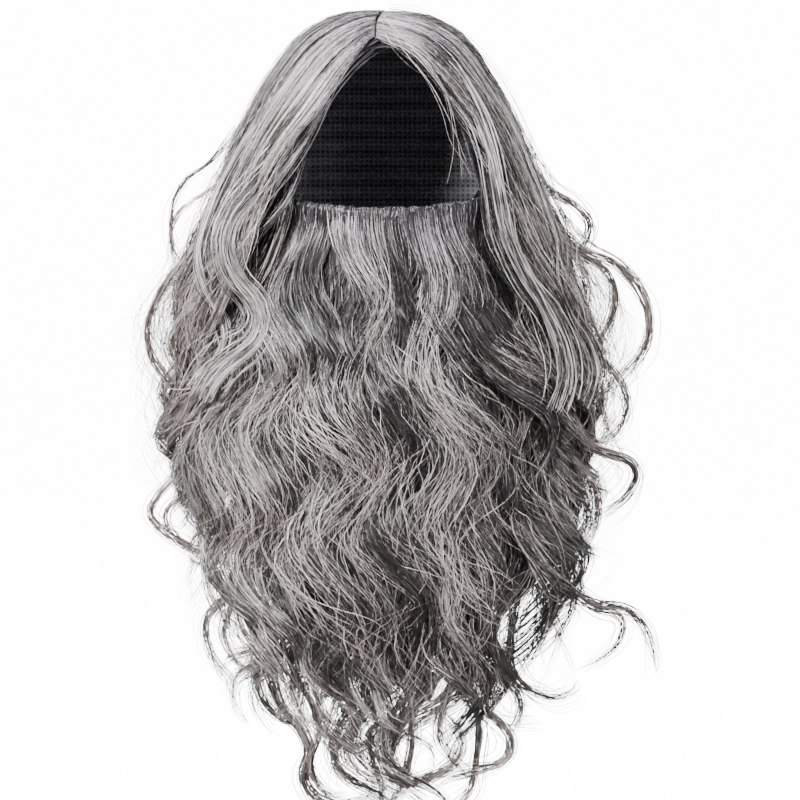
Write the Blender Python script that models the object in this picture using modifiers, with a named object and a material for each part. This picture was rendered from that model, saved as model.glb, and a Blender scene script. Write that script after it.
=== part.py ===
"""A long grey wig with a centre parting, and the full beard that goes with it, as they sit on a head.

Metres, +Z up, face towards -Y, the wearer's left towards +X. The origin is the inside of the cap's
top, where the crown of the head carries the wig. Every piece is laid out in a flow: rows run down the
hair, a turn runs round the head, and a depth runs from the skin outwards. Pieces that keep apart in the
flow keep apart in space, because the waves bend the whole flow at once.
"""

import math

import bmesh
import bpy
import numpy as np

# Driving sizes of the head that the set fits, in metres
HEAD_WIDTH = 0.152
HEAD_LENGTH = 0.196
CROWN_HEIGHT = 0.100
DOME_POWER = 2.3

# Cap, bands and elastic, with angles in degrees from the face
CAP_WALL = 0.0015
BAND_WALL = 0.0010
BAND_WIDTH = 0.008
BAND_WIDENING = 0.4
BAND_END_ANGLE = 60.0
PARTING_WIDTH = 0.0044
PARTING_WALL = 0.0007
PARTING_START = 0.061
PARTING_END = 0.015
STRAP_WALL = 0.0010
STRAP_WIDTH = 0.008
STRAP_DROP = 0.122
STRAP_END_ANGLE = 72.0
PIECE_GAP = 0.0004

# Beard's backing and the gathers of its top edge
BASE_WALL = 0.0020
BASE_DROP = 0.085
GATHER_HEIGHT = 0.009
GATHER_DEPTH = 0.0045
GATHER_END_SHARE = 0.55
GATHER_OVERHANG = 0.0015
GATHER_RELIEF = 0.0012
GATHER_COUNT = 18

# Lengths of the hair, and of its waves from crest to crest
WIG_DROP = 0.330
WIG_MASS_DROP = 0.200
WIG_WAVE = 0.096
WIG_SWING = 0.013
BEARD_TOP = 0.139
BEARD_RISE = 0.014
BEARD_LENGTH = 0.450
BEARD_MASS_LENGTH = 0.287
BEARD_WAVE = 0.086
BEARD_SWING = 0.011
WAVE_PUSH = 0.35
PARTING_GAP = 0.0012
ROOT_DIP = 0.0020
ROOT_DIP_TURN = 0.08
CROWN_GAP = 0.006
SEAM_TURN = 0.004
BEARD_SPREAD = 0.97

# Form of the locks, as shares of a lock's own length or thickness
VALLEY = 0.62
MASS_END = 0.55
MASS_END_LIFT = 0.045
ROOT_OVERLAP = 0.045
LOCK_FILL = 0.88
LOCK_INSIDE = 0.12
LOCK_OUTSIDE = 0.94
LOCK_ROOT = 0.62
LOCK_SWELL = 1.6
LOCK_TIP = 0.16
TAPER_START = 0.4
CURL_START = 0.25
CURL_TURNS = 1.1
CURL_LIFT = 0.5

# Fineness of the facets
LOCK_SIDES = 6
ROWS_IN_A_WAVE = 5.6
DOME_ROWS = (-1.0, -0.86, -0.71, -0.57, -0.43, -0.29, -0.14)
CAP_COLUMNS = 32
CAP_LEVELS = 6
BAND_STEPS = 24
PARTING_STEPS = 10
STRAP_STEPS = 28
STEPS_IN_A_GATHER = 3

HALF_WIDTH = HEAD_WIDTH / 2
HALF_LENGTH = HEAD_LENGTH / 2
DOME_REACH = (HALF_WIDTH + HALF_LENGTH + CROWN_HEIGHT) / 3 * math.pi / 2

# What lies on what, from the skin outwards
ON_CAP = CAP_WALL + PIECE_GAP
ON_BAND = ON_CAP + max(BAND_WALL, STRAP_WALL) + 2.5 * PIECE_GAP
ON_BASE = ON_BAND + BASE_WALL + PIECE_GAP

# Height of the cap's edge round the head: degrees from the face, share of the crown height
CAP_EDGE = {
    "angle": (0, 20, 32, 43, 50, 62, 76, 95, 120, 150, 180),
    "drop": (0.20, 0.25, 0.34, 0.58, 0.84, 1.20, 1.28, 1.05, 1.34, 1.47, 1.50),
}

# Sections of the wig hair. The row is -1 at the parting, 0 at the head's widest level and 1 at the
# longest tip. Depths are shares of the head's half width, and the front is the curtain's front edge.
WIG_SECTIONS = {
    "row": (-1.0, -0.5, -0.2, 0.0, 0.05, 0.12, 0.22, 0.36, 0.55, 0.75, 1.0),
    "side_in": (0.015, 0.015, 0.015, 0.04, 0.12, 0.16, 0.28, 0.48, 0.60, 0.62, 0.52),
    "side_out": (0.06, 0.15, 0.33, 0.54, 0.63, 0.76, 1.05, 1.46, 1.34, 1.25, 0.95),
    "back_in": (0.015, 0.015, 0.015, 0.04, 0.12, 0.15, 0.16, 0.18, 0.20, 0.20, 0.16),
    "back_out": (0.08, 0.16, 0.24, 0.30, 0.36, 0.44, 0.50, 0.55, 0.57, 0.54, 0.42),
    "front": (52, 52, 52, 52, 53, 56, 64, 71, 75, 77, 78),
    "swing": (0.0, 0.0, 0.15, 0.35, 0.42, 0.55, 0.75, 0.95, 1.0, 1.05, 1.1),
}

# Sections of the beard. The row is 0 at the band and 1 at the longest tip. Spreads are shares of the
# head's half width, and the end is the angle from the face at which the beard stops.
BEARD_SECTIONS = {
    "row": (0.0, 0.04, 0.12, 0.22, 0.35, 0.50, 0.70, 0.85, 1.0),
    "side": (0.0, 0.0, 0.05, 0.26, 0.56, 0.78, 0.88, 0.80, 0.62),
    "front": (0.0, 0.0, 0.06, 0.16, 0.24, 0.27, 0.26, 0.22, 0.16),
    "end": (79, 78, 72, 66, 63, 64, 64, 62, 60),
    "middle_out": (0.13, 0.17, 0.27, 0.36, 0.44, 0.46, 0.42, 0.34, 0.26),
    "end_out": (0.055, 0.055, 0.14, 0.26, 0.34, 0.38, 0.36, 0.30, 0.24),
    "swing": (0.0, 0.06, 0.35, 0.75, 1.0, 1.1, 1.1, 1.1, 1.1),
}

# The free locks, a column for each from the front edge to the back, or across the beard from the
# wearer's right to left. The reach is the row of the tip, the curl is the size of the open curl that it
# ends in, and the lean is how far it stands out, both as shares of the head's half width.
LEFT_LOCKS = {
    "reach": (0.74, 1.00, 0.86, 1.22, 0.90, 1.02),
    "curl": (0.10, 0.20, -0.18, 0.22, -0.10, 0.0),
    "lean": (0.00, 0.05, 0.12, 0.60, 0.10, 0.00),
    "start": (0.4, 1.6, 2.8, 0.2, 4.0, 5.2),
}
RIGHT_LOCKS = {
    "reach": (0.80, 0.92, 1.02, 0.84, 0.96, 0.90),
    "curl": (0.10, -0.18, 0.20, -0.18, 0.10, 0.0),
    "lean": (0.00, 0.10, 0.16, 0.08, 0.12, 0.00),
    "start": (3.0, 0.6, 1.8, 4.4, 2.4, 0.0),
}
BACK_LOCKS = {
    "reach": (0.96, 0.86, 0.99, 0.90, 1.00, 0.88, 0.97, 0.92),
    "curl": (0.0, -0.12, 0.20, -0.18, 0.20, -0.20, 0.12, 0.0),
    "lean": (0.00, 0.04, 0.00, 0.06, 0.00, 0.05, 0.00, 0.04),
    "start": (0.0, 2.0, 4.1, 1.0, 3.2, 5.0, 0.6, 2.6),
}
BEARD_LOCKS = {
    "reach": (0.70, 0.84, 0.90, 1.00, 1.03, 0.98, 1.04, 1.02, 0.95, 0.88, 0.74),
    "curl": (0.08, -0.20, 0.22, 0.26, -0.24, 0.22, -0.26, 0.26, -0.22, 0.20, -0.08),
    "lean": (0.02, 0.04, 0.00, 0.06, 0.00, 0.05, 0.00, 0.06, 0.00, 0.04, 0.02),
    "start": (0.0, 2.2, 1.1, 3.4, 0.5, 4.6, 1.9, 5.4, 2.9, 0.8, 3.8),
}


def table(rows, key, column, at):
    """A smooth value from a table of sections, held level past its ends."""
    keys = rows[key]
    values = rows[column]
    at = min(max(at, keys[0]), keys[-1])
    i = int(np.searchsorted(keys, at, side="right")) - 1
    i = min(max(i, 0), len(keys) - 2)
    step = keys[i + 1] - keys[i]
    t = (at - keys[i]) / step
    before = values[i - 1] if i > 0 else values[i]
    after = values[i + 2] if i + 2 < len(values) else values[i + 1]
    span_before = keys[i] - keys[i - 1] if i > 0 else step
    span_after = keys[i + 2] - keys[i + 1] if i + 2 < len(keys) else step
    slope_a = (values[i + 1] - before) / (step + span_before) * step
    slope_b = (after - values[i]) / (step + span_after) * step
    return (
        (2 * t**3 - 3 * t**2 + 1) * values[i]
        + (t**3 - 2 * t**2 + t) * slope_a
        + (-2 * t**3 + 3 * t**2) * values[i + 1]
        + (t**3 - t**2) * slope_b
    )


def dome(direction, off_x, off_y, off_z):
    """The point of the head's dome in a direction, with the dome grown outwards on each axis."""
    across = math.hypot(direction[0], direction[1])
    reach = (across**DOME_POWER + abs(direction[2]) ** DOME_POWER) ** (-1 / DOME_POWER)
    return np.array(
        (
            (HALF_WIDTH + off_x) * direction[0] * reach,
            (HALF_LENGTH + off_y) * direction[1] * reach,
            (CROWN_HEIGHT + off_z) * direction[2] * reach - CROWN_HEIGHT,
        )
    )


def dome_above(x, y, off):
    """The point of the grown dome above a place on the plan."""
    across = math.hypot(x / (HALF_WIDTH + off), y / (HALF_LENGTH + off))
    up = (1 - across**DOME_POWER) ** (1 / DOME_POWER)
    return np.array((x, y, (CROWN_HEIGHT + off) * up - CROWN_HEIGHT))


def head_point(angle, drop, off):
    """The point at an angle from the face, a drop below the crown and an offset from the skin."""
    turn = math.radians(angle)
    if drop >= CROWN_HEIGHT:
        across = 1.0
    else:
        up = 1 - drop / CROWN_HEIGHT
        across = (1 - up**DOME_POWER) ** (1 / DOME_POWER)
    height = CROWN_HEIGHT - drop
    grown = height * (1 + off / CROWN_HEIGHT) if height > 0 else height
    return np.array(
        (
            (HALF_WIDTH + off) * across * math.sin(turn),
            -(HALF_LENGTH + off) * across * math.cos(turn),
            grown - CROWN_HEIGHT,
        )
    )


def cap_edge_drop(angle):
    return CROWN_HEIGHT * table(CAP_EDGE, "angle", "drop", abs(angle))


def parting_direction(turn):
    """Where the hair at a turn round the head leaves the parting, as a direction from the head's centre."""
    share = min(1.0, 2 * turn)
    y = -PARTING_START + share * (PARTING_START + PARTING_END)
    along = y / HALF_LENGTH
    return np.array((0.0, along, math.sqrt(1 - along**2)))


def wave_phase(angle):
    """A phase that changes slowly round the head, so that neighbouring locks swing together."""
    turn = math.radians(angle)
    return 2.2 * math.sin(turn + 0.6) + 1.5 * math.sin(3 * turn + 2.0)


def wig_flow(side, turn, row, depth):
    """A point of the wig hair. The turn is 0 at the curtain's front edge and 1 at the back's middle,
    and the depth is 0 next to the cap and 1 at the hair's outside."""
    off_x = ON_BAND + HALF_WIDTH * (
        (1 - depth) * table(WIG_SECTIONS, "row", "side_in", row)
        + depth * table(WIG_SECTIONS, "row", "side_out", row)
    )
    off_y = ON_BAND + HALF_WIDTH * (
        (1 - depth) * table(WIG_SECTIONS, "row", "back_in", row)
        + depth * table(WIG_SECTIONS, "row", "back_out", row)
    )
    root = max(0.0, (DOME_ROWS[1] - row) / (DOME_ROWS[1] - DOME_ROWS[0]))
    dip = ROOT_DIP * root * min(1.0, turn / ROOT_DIP_TURN) * (1 - depth)
    off_x -= dip
    off_y -= dip
    front = table(WIG_SECTIONS, "row", "front", row)
    angle = front + turn * (180 - front)
    swing = WIG_SWING * table(WIG_SECTIONS, "row", "swing", row)
    run = row * (DOME_REACH if row < 0 else WIG_DROP)
    phase = 2 * math.pi * run / WIG_WAVE + wave_phase(side * angle)
    radius = HALF_WIDTH + off_x
    swung = side * angle + math.degrees(swing * math.sin(phase) / radius)
    push = WAVE_PUSH * swing * math.sin(phase + 1.3) * (0.3 + 0.7 * depth)
    off_x += push
    off_y += push
    end = math.radians(swung)
    if row >= 0:
        return np.array(
            (
                (HALF_WIDTH + off_x) * math.sin(end),
                -(HALF_LENGTH + off_y) * math.cos(end),
                -CROWN_HEIGHT - row * WIG_DROP,
            )
        )
    start = parting_direction(turn)
    level = np.array((math.sin(end), -math.cos(end), 0.0))
    between = math.acos(min(1.0, max(-1.0, float(start @ level))))
    first = (PARTING_GAP if turn <= 0.5 else CROWN_GAP) / DOME_REACH
    along = first + (1 - first) * (1 + row)
    direction = (
        math.sin((1 - along) * between) * start + math.sin(along * between) * level
    ) / math.sin(between)
    off_z = off_y + (off_x - off_y) * abs(direction[0])
    return dome(direction, off_x, off_y, off_z)


def beard_flow(turn, row, depth_off):
    """A point of the beard. The turn runs from -1 to 1 across it, and the offset is from the skin."""
    end = table(BEARD_SECTIONS, "row", "end", row)
    side = HALF_WIDTH + HALF_WIDTH * table(BEARD_SECTIONS, "row", "side", row) + depth_off
    front = HALF_LENGTH + HALF_WIDTH * table(BEARD_SECTIONS, "row", "front", row) + depth_off
    swing = BEARD_SWING * table(BEARD_SECTIONS, "row", "swing", row)
    phase = 2 * math.pi * row * BEARD_LENGTH / BEARD_WAVE + 1.6 * math.sin(2.3 * turn + 0.4)
    angle = math.radians(turn * end) + swing * math.sin(phase) / front
    drop = BEARD_TOP - BEARD_RISE * turn**2 + row * BEARD_LENGTH
    return np.array((side * math.sin(angle), -front * math.cos(angle), -drop))


def beard_outside(turn, row):
    """How far from the skin the beard's outside is, thinner towards its ends."""
    middle = table(BEARD_SECTIONS, "row", "middle_out", row)
    end = table(BEARD_SECTIONS, "row", "end_out", row)
    return ON_BASE + HALF_WIDTH * (end + (middle - end) * math.cos(turn * math.pi / 2))


def collection(name, hidden=False):
    made = bpy.data.collections.new(name)
    bpy.context.scene.collection.children.link(made)
    made.hide_render = hidden
    return made


def material(name, colour, roughness):
    made = bpy.data.materials.new(name)
    made.use_nodes = True
    shader = made.node_tree.nodes["Principled BSDF"]
    shader.inputs["Base Color"].default_value = (*colour, 1.0)
    shader.inputs["Roughness"].default_value = roughness
    shader.inputs["Metallic"].default_value = 0.0
    return made


def finished(name, mesh_data, home, surface):
    """An object of the mesh, outward facing and shaded, in its collection."""
    bmesh.ops.recalc_face_normals(mesh_data, faces=mesh_data.faces)
    mesh = bpy.data.meshes.new(name)
    mesh_data.to_mesh(mesh)
    mesh_data.free()
    mesh.shade_smooth()
    mesh.set_sharp_from_angle(angle=math.radians(50))
    made = bpy.data.objects.new(name, mesh)
    made.data.materials.append(surface)
    home.objects.link(made)
    return made


def loft(name, rings, home, surface):
    """A closed solid through rings of points, each ring with as many points as the next."""
    built = bmesh.new()
    loops = [[built.verts.new(point) for point in ring] for ring in rings]
    count = len(loops[0])
    for near, far in zip(loops, loops[1:]):
        for i in range(count):
            j = (i + 1) % count
            built.faces.new((near[i], near[j], far[j], far[i]))
    for end in (loops[0], loops[-1]):
        bmesh.ops.triangulate(built, faces=[built.faces.new(end)])
    return finished(name, built, home, surface)


def lock(name, place, centre, half_turn, depths, rows, shape, home, surface):
    """A free lock in a flow: it swells from inside the mass above it, leaves the flow in an open curl
    and tapers to its tip. The shape is its curl, lean and start."""
    curl, lean, start = shape
    size = HALF_WIDTH * abs(curl)
    rings = []
    for i, row in enumerate(rows):
        share = i / (len(rows) - 1)
        tapered = max(0.0, (share - TAPER_START) / (1 - TAPER_START))
        thick = min(1.0, LOCK_ROOT + LOCK_SWELL * share) * (1 - (1 - LOCK_TIP) * tapered**1.3)
        low, high = depths(centre, row)
        outward = place(centre, row, high) - place(centre, row, low)
        outward[2] = 0
        outward /= np.linalg.norm(outward)
        across = np.array((-outward[1], outward[0], 0.0))
        free = max(0.0, (share - CURL_START) / (1 - CURL_START))
        bend = start + math.copysign(CURL_TURNS, curl) * 2 * math.pi * free
        sideways = size * free * (math.sin(bend) - math.sin(start))
        outwards = size * free * (1 - math.cos(bend)) / 2 + HALF_WIDTH * lean * free**1.4
        away = across * sideways + outward * outwards
        away[2] += size * CURL_LIFT * free**2
        ring = []
        for k in range(LOCK_SIDES):
            spin = 2 * math.pi * k / LOCK_SIDES
            turn = centre + half_turn * thick * math.cos(spin)
            depth = (low + high) / 2 + (high - low) / 2 * thick * math.sin(spin)
            ring.append(place(turn, row, depth) + away)
        rings.append(ring)
    return loft(name, rings, home, surface)


def mass(name, place, edges, depths, rows, home, surface):
    """The mass of hair: a slab between two depths with a ridge for each of its locks. The edges are
    the turns between its locks, and depths(turn, row) the least and greatest depth of its body."""
    centres = [(left + right) / 2 for left, right in zip(edges, edges[1:])]
    rings = []
    for row in rows:
        last = row == rows[-1]
        inner = []
        outer = []
        for turn in sorted(edges + centres):
            low, high = depths(turn, row)
            thick = (high - low) * (MASS_END if last else 1.0)
            lift = (high - low) * (MASS_END_LIFT if last else 0.0)
            if turn in edges:
                inner.append(place(turn, row, low + lift))
                outer.append(place(turn, row, low + thick * VALLEY))
            else:
                outer.append(place(turn, row, low + thick))
        rings.append(inner + outer[::-1])
    return loft(name, rings, home, surface)


def fuse(body, locks):
    """Joins the locks of a collection to their mass."""
    joined = body.modifiers.new("fuse_locks", "BOOLEAN")
    joined.operation = "UNION"
    joined.operand_type = "COLLECTION"
    joined.collection = locks
    for piece in locks.objects:
        piece.hide_render = True
        piece.display_type = "WIRE"


def rows_between(first, last, length, wave):
    """Rows down a length of hair, several to each of its waves."""
    count = max(4, round((last - first) * length / wave * ROWS_IN_A_WAVE))
    return [first + (last - first) * i / count for i in range(count + 1)]


def lock_edges(first, last, count):
    return [first + (last - first) * i / count for i in range(count + 1)]


def build_hair(name, place, edges, depths, mass_rows, ends, length, wave, home, helpers, surface):
    """A mass of hair in ridges, and a free lock fused to the end of each."""
    body = mass(name, place, edges, depths, mass_rows, home, surface)
    locks = bpy.data.collections.new(name + "_locks")
    helpers.children.link(locks)
    root = mass_rows[-1] - ROOT_OVERLAP / length

    def lock_depths(turn, row):
        low, high = depths(turn, row)
        return (low + LOCK_INSIDE * (high - low), low + LOCK_OUTSIDE * (high - low))

    shapes = zip(ends["reach"], ends["curl"], ends["lean"], ends["start"])
    for i, (reach, *shape) in enumerate(shapes):
        centre = (edges[i] + edges[i + 1]) / 2
        half_turn = (edges[i + 1] - edges[i]) / 2 * LOCK_FILL
        rows = rows_between(root, reach, length, wave)
        lock(f"{name}_lock_{i + 1}", place, centre, half_turn, lock_depths, rows, shape, locks, surface)
    fuse(body, locks)
    return body


def build_cap(home, surface):
    """An open surface over the head with a thickness, cut away at the face and over the ears."""
    built = bmesh.new()
    top = built.verts.new((0, 0, 0))
    loops = []
    for level in range(1, CAP_LEVELS + 1):
        loop = []
        for column in range(CAP_COLUMNS):
            angle = 360 * column / CAP_COLUMNS - 180
            lowest = cap_edge_drop(angle)
            share = level / CAP_LEVELS
            drop = lowest * share ** (2.0 if lowest < CROWN_HEIGHT else 1.6)
            loop.append(built.verts.new(head_point(angle, drop, 0)))
        loops.append(loop)
    for i in range(CAP_COLUMNS):
        j = (i + 1) % CAP_COLUMNS
        built.faces.new((top, loops[0][i], loops[0][j]))
        for near, far in zip(loops, loops[1:]):
            built.faces.new((near[i], far[i], far[j], near[j]))
    bmesh.ops.recalc_face_normals(built, faces=built.faces)
    if sum(face.normal.z for face in built.faces if top in face.verts) < 0:
        bmesh.ops.reverse_faces(built, faces=built.faces)
    mesh = bpy.data.meshes.new("wig_cap")
    built.to_mesh(mesh)
    built.free()
    mesh.shade_smooth()
    cap = bpy.data.objects.new("wig_cap", mesh)
    cap.data.materials.append(surface)
    home.objects.link(cap)
    wall = cap.modifiers.new("wall", "SOLIDIFY")
    wall.thickness = CAP_WALL
    wall.offset = 1.0
    wall.use_even_offset = True
    return cap


def build_hairline_band(home, surface):
    """The dark band along the cap's front edge, from temple to temple."""
    rings = []
    for i in range(BAND_STEPS + 1):
        angle = BAND_END_ANGLE * (2 * i / BAND_STEPS - 1)
        low = cap_edge_drop(angle)
        high = low - BAND_WIDTH * (1 + BAND_WIDENING * math.sin(math.radians(abs(angle))))
        rings.append(
            [
                head_point(angle, low, ON_CAP),
                head_point(angle, low, ON_CAP + BAND_WALL),
                head_point(angle, high, ON_CAP + BAND_WALL),
                head_point(angle, high, ON_CAP),
            ]
        )
    return loft("hairline_band", rings, home, surface)


def build_parting_strip(home, surface):
    """The sewn strip at the bottom of the parting, from behind the hairline to the crown."""
    first = head_point(0, cap_edge_drop(0) - BAND_WIDTH, ON_CAP)[1] + 2 * PIECE_GAP
    rings = []
    for i in range(PARTING_STEPS + 1):
        y = first + (PARTING_END - first) * i / PARTING_STEPS
        ring = []
        for x, off in (
            (-PARTING_WIDTH / 2, ON_CAP),
            (PARTING_WIDTH / 2, ON_CAP),
            (PARTING_WIDTH / 2, ON_CAP + PARTING_WALL),
            (-PARTING_WIDTH / 2, ON_CAP + PARTING_WALL),
        ):
            ring.append(dome_above(x, y, off))
        rings.append(ring)
    return loft("parting_strip", rings, home, surface)


def wig_mass_rows():
    return list(DOME_ROWS) + rows_between(0, WIG_MASS_DROP / WIG_DROP, WIG_DROP, WIG_WAVE)


def build_side_hair(name, side, home, helpers, surface):
    """One side of the wig: combed from the parting over the ear, and hanging in locks."""

    def place(turn, row, depth):
        return wig_flow(side, turn, row, depth)

    def depths(turn, row):
        return (0.0, 1.0)

    ends = LEFT_LOCKS if side > 0 else RIGHT_LOCKS
    edges = lock_edges(0, 0.5 - SEAM_TURN, len(ends["reach"]))
    rows = wig_mass_rows()
    return build_hair(
        name, place, edges, depths, rows, ends, WIG_DROP, WIG_WAVE, home, helpers, surface
    )


def build_back_hair(home, helpers, surface):
    """The back of the wig, which fans from the crown and hangs between the two sides."""

    def place(turn, row, depth):
        side = 1 if turn < 0 else -1
        return wig_flow(side, 1 - 0.5 * abs(turn), row, depth)

    def depths(turn, row):
        return (0.0, 1.0)

    ends = BACK_LOCKS
    edges = lock_edges(-1 + 2 * SEAM_TURN, 1 - 2 * SEAM_TURN, len(ends["reach"]))
    rows = wig_mass_rows()
    name = "wig_hair_back"
    return build_hair(
        name, place, edges, depths, rows, ends, WIG_DROP, WIG_WAVE, home, helpers, surface
    )


def beard_mass_rows():
    first = (GATHER_HEIGHT + PIECE_GAP) / BEARD_LENGTH
    return rows_between(first, BEARD_MASS_LENGTH / BEARD_LENGTH, BEARD_LENGTH, BEARD_WAVE)


def build_beard_base(home, surface):
    """The curved backing that lies on the cheeks, lips and chin."""
    turns = [-1.0] + lock_edges(-BEARD_SPREAD, BEARD_SPREAD, len(BEARD_LOCKS["reach"])) + [1.0]
    last = BASE_DROP / BEARD_LENGTH
    rings = []
    for row in [0.0] + [row for row in beard_mass_rows() if row < last]:
        inner = [beard_flow(turn, row, ON_BAND) for turn in turns]
        outer = [beard_flow(turn, row, ON_BAND + BASE_WALL) for turn in reversed(turns)]
        rings.append(inner + outer)
    return loft("beard_base", rings, home, surface)


def build_beard_band(home, surface):
    """The gathered top edge, where the hair is folded over and stitched down."""
    steps = GATHER_COUNT * STEPS_IN_A_GATHER
    low_row = GATHER_HEIGHT / BEARD_LENGTH
    rings = []
    for i in range(steps + 1):
        turn = 2 * i / steps - 1
        pleat = GATHER_RELIEF * (1 - math.cos(2 * math.pi * i / STEPS_IN_A_GATHER + 0.4)) / 2
        middle_share = (1 - GATHER_END_SHARE) * math.cos(turn * math.pi / 2)
        thick = GATHER_DEPTH * (GATHER_END_SHARE + middle_share) + pleat
        high_row = -(GATHER_OVERHANG + pleat / 2) / BEARD_LENGTH
        rings.append(
            [
                beard_flow(turn, low_row, ON_BASE),
                beard_flow(turn, low_row, ON_BASE + 0.8 * thick),
                beard_flow(turn, low_row * 0.4, ON_BASE + thick),
                beard_flow(turn, high_row, ON_BASE + 0.5 * thick),
                beard_flow(turn, high_row, ON_BASE),
            ]
        )
    return loft("beard_band", rings, home, surface)


def build_beard_hair(home, helpers, surface):
    """The beard: a mass that hangs from the band, and its long wavy locks."""
    edges = lock_edges(-BEARD_SPREAD, BEARD_SPREAD, len(BEARD_LOCKS["reach"]))

    def depths(turn, row):
        return (ON_BASE + PIECE_GAP, beard_outside(turn, row))

    return build_hair(
        "beard_hair",
        beard_flow,
        edges,
        depths,
        beard_mass_rows(),
        BEARD_LOCKS,
        BEARD_LENGTH,
        BEARD_WAVE,
        home,
        helpers,
        surface,
    )


def build_beard_strap(home, surface):
    """The elastic from one end of the beard round the back of the head to the other."""
    high = STRAP_DROP - STRAP_WIDTH / 2
    low = STRAP_DROP + STRAP_WIDTH / 2
    rings = []
    for i in range(STRAP_STEPS + 1):
        angle = STRAP_END_ANGLE + (360 - 2 * STRAP_END_ANGLE) * i / STRAP_STEPS
        rings.append(
            [
                head_point(angle, high, ON_CAP),
                head_point(angle, low, ON_CAP),
                head_point(angle, low, ON_CAP + STRAP_WALL),
                head_point(angle, high, ON_CAP + STRAP_WALL),
            ]
        )
    return loft("beard_strap", rings, home, surface)


def main():
    for old in list(bpy.data.objects):
        bpy.data.objects.remove(old)
    parts = collection("wig_and_beard")
    helpers = collection("fused_locks", hidden=True)
    hair = material("grey_hair", (0.36, 0.34, 0.34), 0.42)
    net = material("cap_net", (0.03, 0.03, 0.035), 0.85)
    band = material("dark_band", (0.025, 0.025, 0.035), 0.7)
    backing = material("beard_backing", (0.05, 0.05, 0.055), 0.85)
    elastic = material("elastic", (0.04, 0.04, 0.045), 0.75)
    build_cap(parts, net)
    build_hairline_band(parts, band)
    build_parting_strip(parts, band)
    build_side_hair("wig_hair_left", 1, parts, helpers, hair)
    build_side_hair("wig_hair_right", -1, parts, helpers, hair)
    build_back_hair(parts, helpers, hair)
    build_beard_base(parts, backing)
    build_beard_band(parts, hair)
    build_beard_hair(parts, helpers, hair)
    build_beard_strap(parts, elastic)


main()
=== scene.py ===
"""The looks of the long grey wig and its beard: strand by strand hair over dark under-layers.

Metres, +Z up, front towards -Y. The hair is laid out in the flow that its solids have: rows run down
the hair, a turn runs round the cap, and a depth runs from the cap or the backing outwards.
"""

import math
from functools import partial
from types import SimpleNamespace

import bpy
import numpy as np
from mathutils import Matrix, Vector


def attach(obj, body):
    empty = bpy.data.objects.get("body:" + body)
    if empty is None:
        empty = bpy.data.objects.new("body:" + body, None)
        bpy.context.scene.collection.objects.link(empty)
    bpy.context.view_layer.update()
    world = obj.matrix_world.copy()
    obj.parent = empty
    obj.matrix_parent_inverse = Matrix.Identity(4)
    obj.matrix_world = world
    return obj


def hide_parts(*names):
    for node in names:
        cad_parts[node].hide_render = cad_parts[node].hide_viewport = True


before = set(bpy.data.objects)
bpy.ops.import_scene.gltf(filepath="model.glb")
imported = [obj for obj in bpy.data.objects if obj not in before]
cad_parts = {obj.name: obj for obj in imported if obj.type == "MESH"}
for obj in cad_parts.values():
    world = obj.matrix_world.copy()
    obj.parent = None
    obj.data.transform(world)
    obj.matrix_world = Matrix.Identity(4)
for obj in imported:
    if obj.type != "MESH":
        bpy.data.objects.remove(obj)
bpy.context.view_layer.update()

# The cap's dome and what lies on it, in metres
HALF_WIDTH = 0.076
HALF_LENGTH = 0.098
CROWN_HEIGHT = 0.100
DOME_POWER = 2.3
DOME_REACH = (HALF_WIDTH + HALF_LENGTH + CROWN_HEIGHT) / 3 * math.pi / 2
ON_BAND = 0.0039
ON_BASE = 0.0063
PARTING_START = 0.061
PARTING_END = 0.015
PARTING_GAP = 0.0012
CROWN_GAP = 0.006
PARTING_SHIFT = -0.0070
PARTING_SHIFT_BACK = 0.0015
PARTING_SLANT_FROM = 0.010
ROOT_DIP = 0.0020
ROOT_DIP_TURN = 0.08

# Lengths of the hair, and of its waves from crest to crest
WIG_DROP = 0.330
WIG_WAVE = 0.096
WIG_SWING = 0.013
BEARD_TOP = 0.139
BEARD_RISE = 0.014
BEARD_LENGTH = 0.450
BEARD_WAVE = 0.086
BEARD_SWING = 0.011
BEARD_LIFT = 0.0004
WAVE_PUSH = 0.35
OWN_SWAY = 0.3

# Where combed hair turns to hanging hair, as rows, and how long that bend is smoothed
BEND_ROW = 0.10
BEND_REACH = 0.45
BEND_PASSES = 24

# The beard's gathered top edge: down from its top and out from the backing as shares of its size
GATHER_HEIGHT = 0.009
GATHER_DEPTH = 0.0045
GATHER_END_SHARE = 0.55
GATHER_OVERHANG = 0.0015
GATHER_RELIEF = 0.0014
GATHER_PLEATS = 96
GATHER_COLUMNS = 1100
GATHER_PROFILE = (
    (1.0, 0.0), (1.0, 0.8), (0.7, 0.95), (0.4, 1.0), (0.15, 0.95), (-0.05, 0.78), (-0.15, 0.5),
    (-0.16, 0.0),
)
FOLDED_HAIRS = 820
FOLDED_WIDTH = 0.0006

# Patches of grey along a strand, from its root to its tip
GRAIN_CELLS = 110.0
CURL_CELLS = 34.0
UNDER_CELLS = 12.0

# Greys of the light and the dark strands that the hair is mixed from
LIGHT_TONE = 0.85
DARK_TONE = 0.12
BLEND_TONE = 0.23

# A painted highlight in the strands' tone: they are lighter where they lie square to this direction,
# halfway between the main light and the view
PAINTED_HIGHLIGHT_AXIS = np.array((-0.254, -0.930, 0.264))
PAINTED_HIGHLIGHT_SPREAD = 0.17
PAINTED_HIGHLIGHT_TONE = 0.34

# The small slow waves of single strands: their lengths in metres with their weights, and the shares of
# strands that stray little, more and far
FRIZZ_WAVES = ((0.170, 1.0), (0.085, 0.4), (0.042, 0.12))
FRIZZ_SHARES = (0.62, 0.25, 0.13)

# The room that all hair stays in, in metres, and over how far it is bent back into it
ROOM_LOW = np.array((-0.2120, -0.1730, -0.6180))
ROOM_HIGH = np.array((0.2090, 0.1620, 0.0200))
ROOM_SOFTNESS = 0.015

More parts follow.
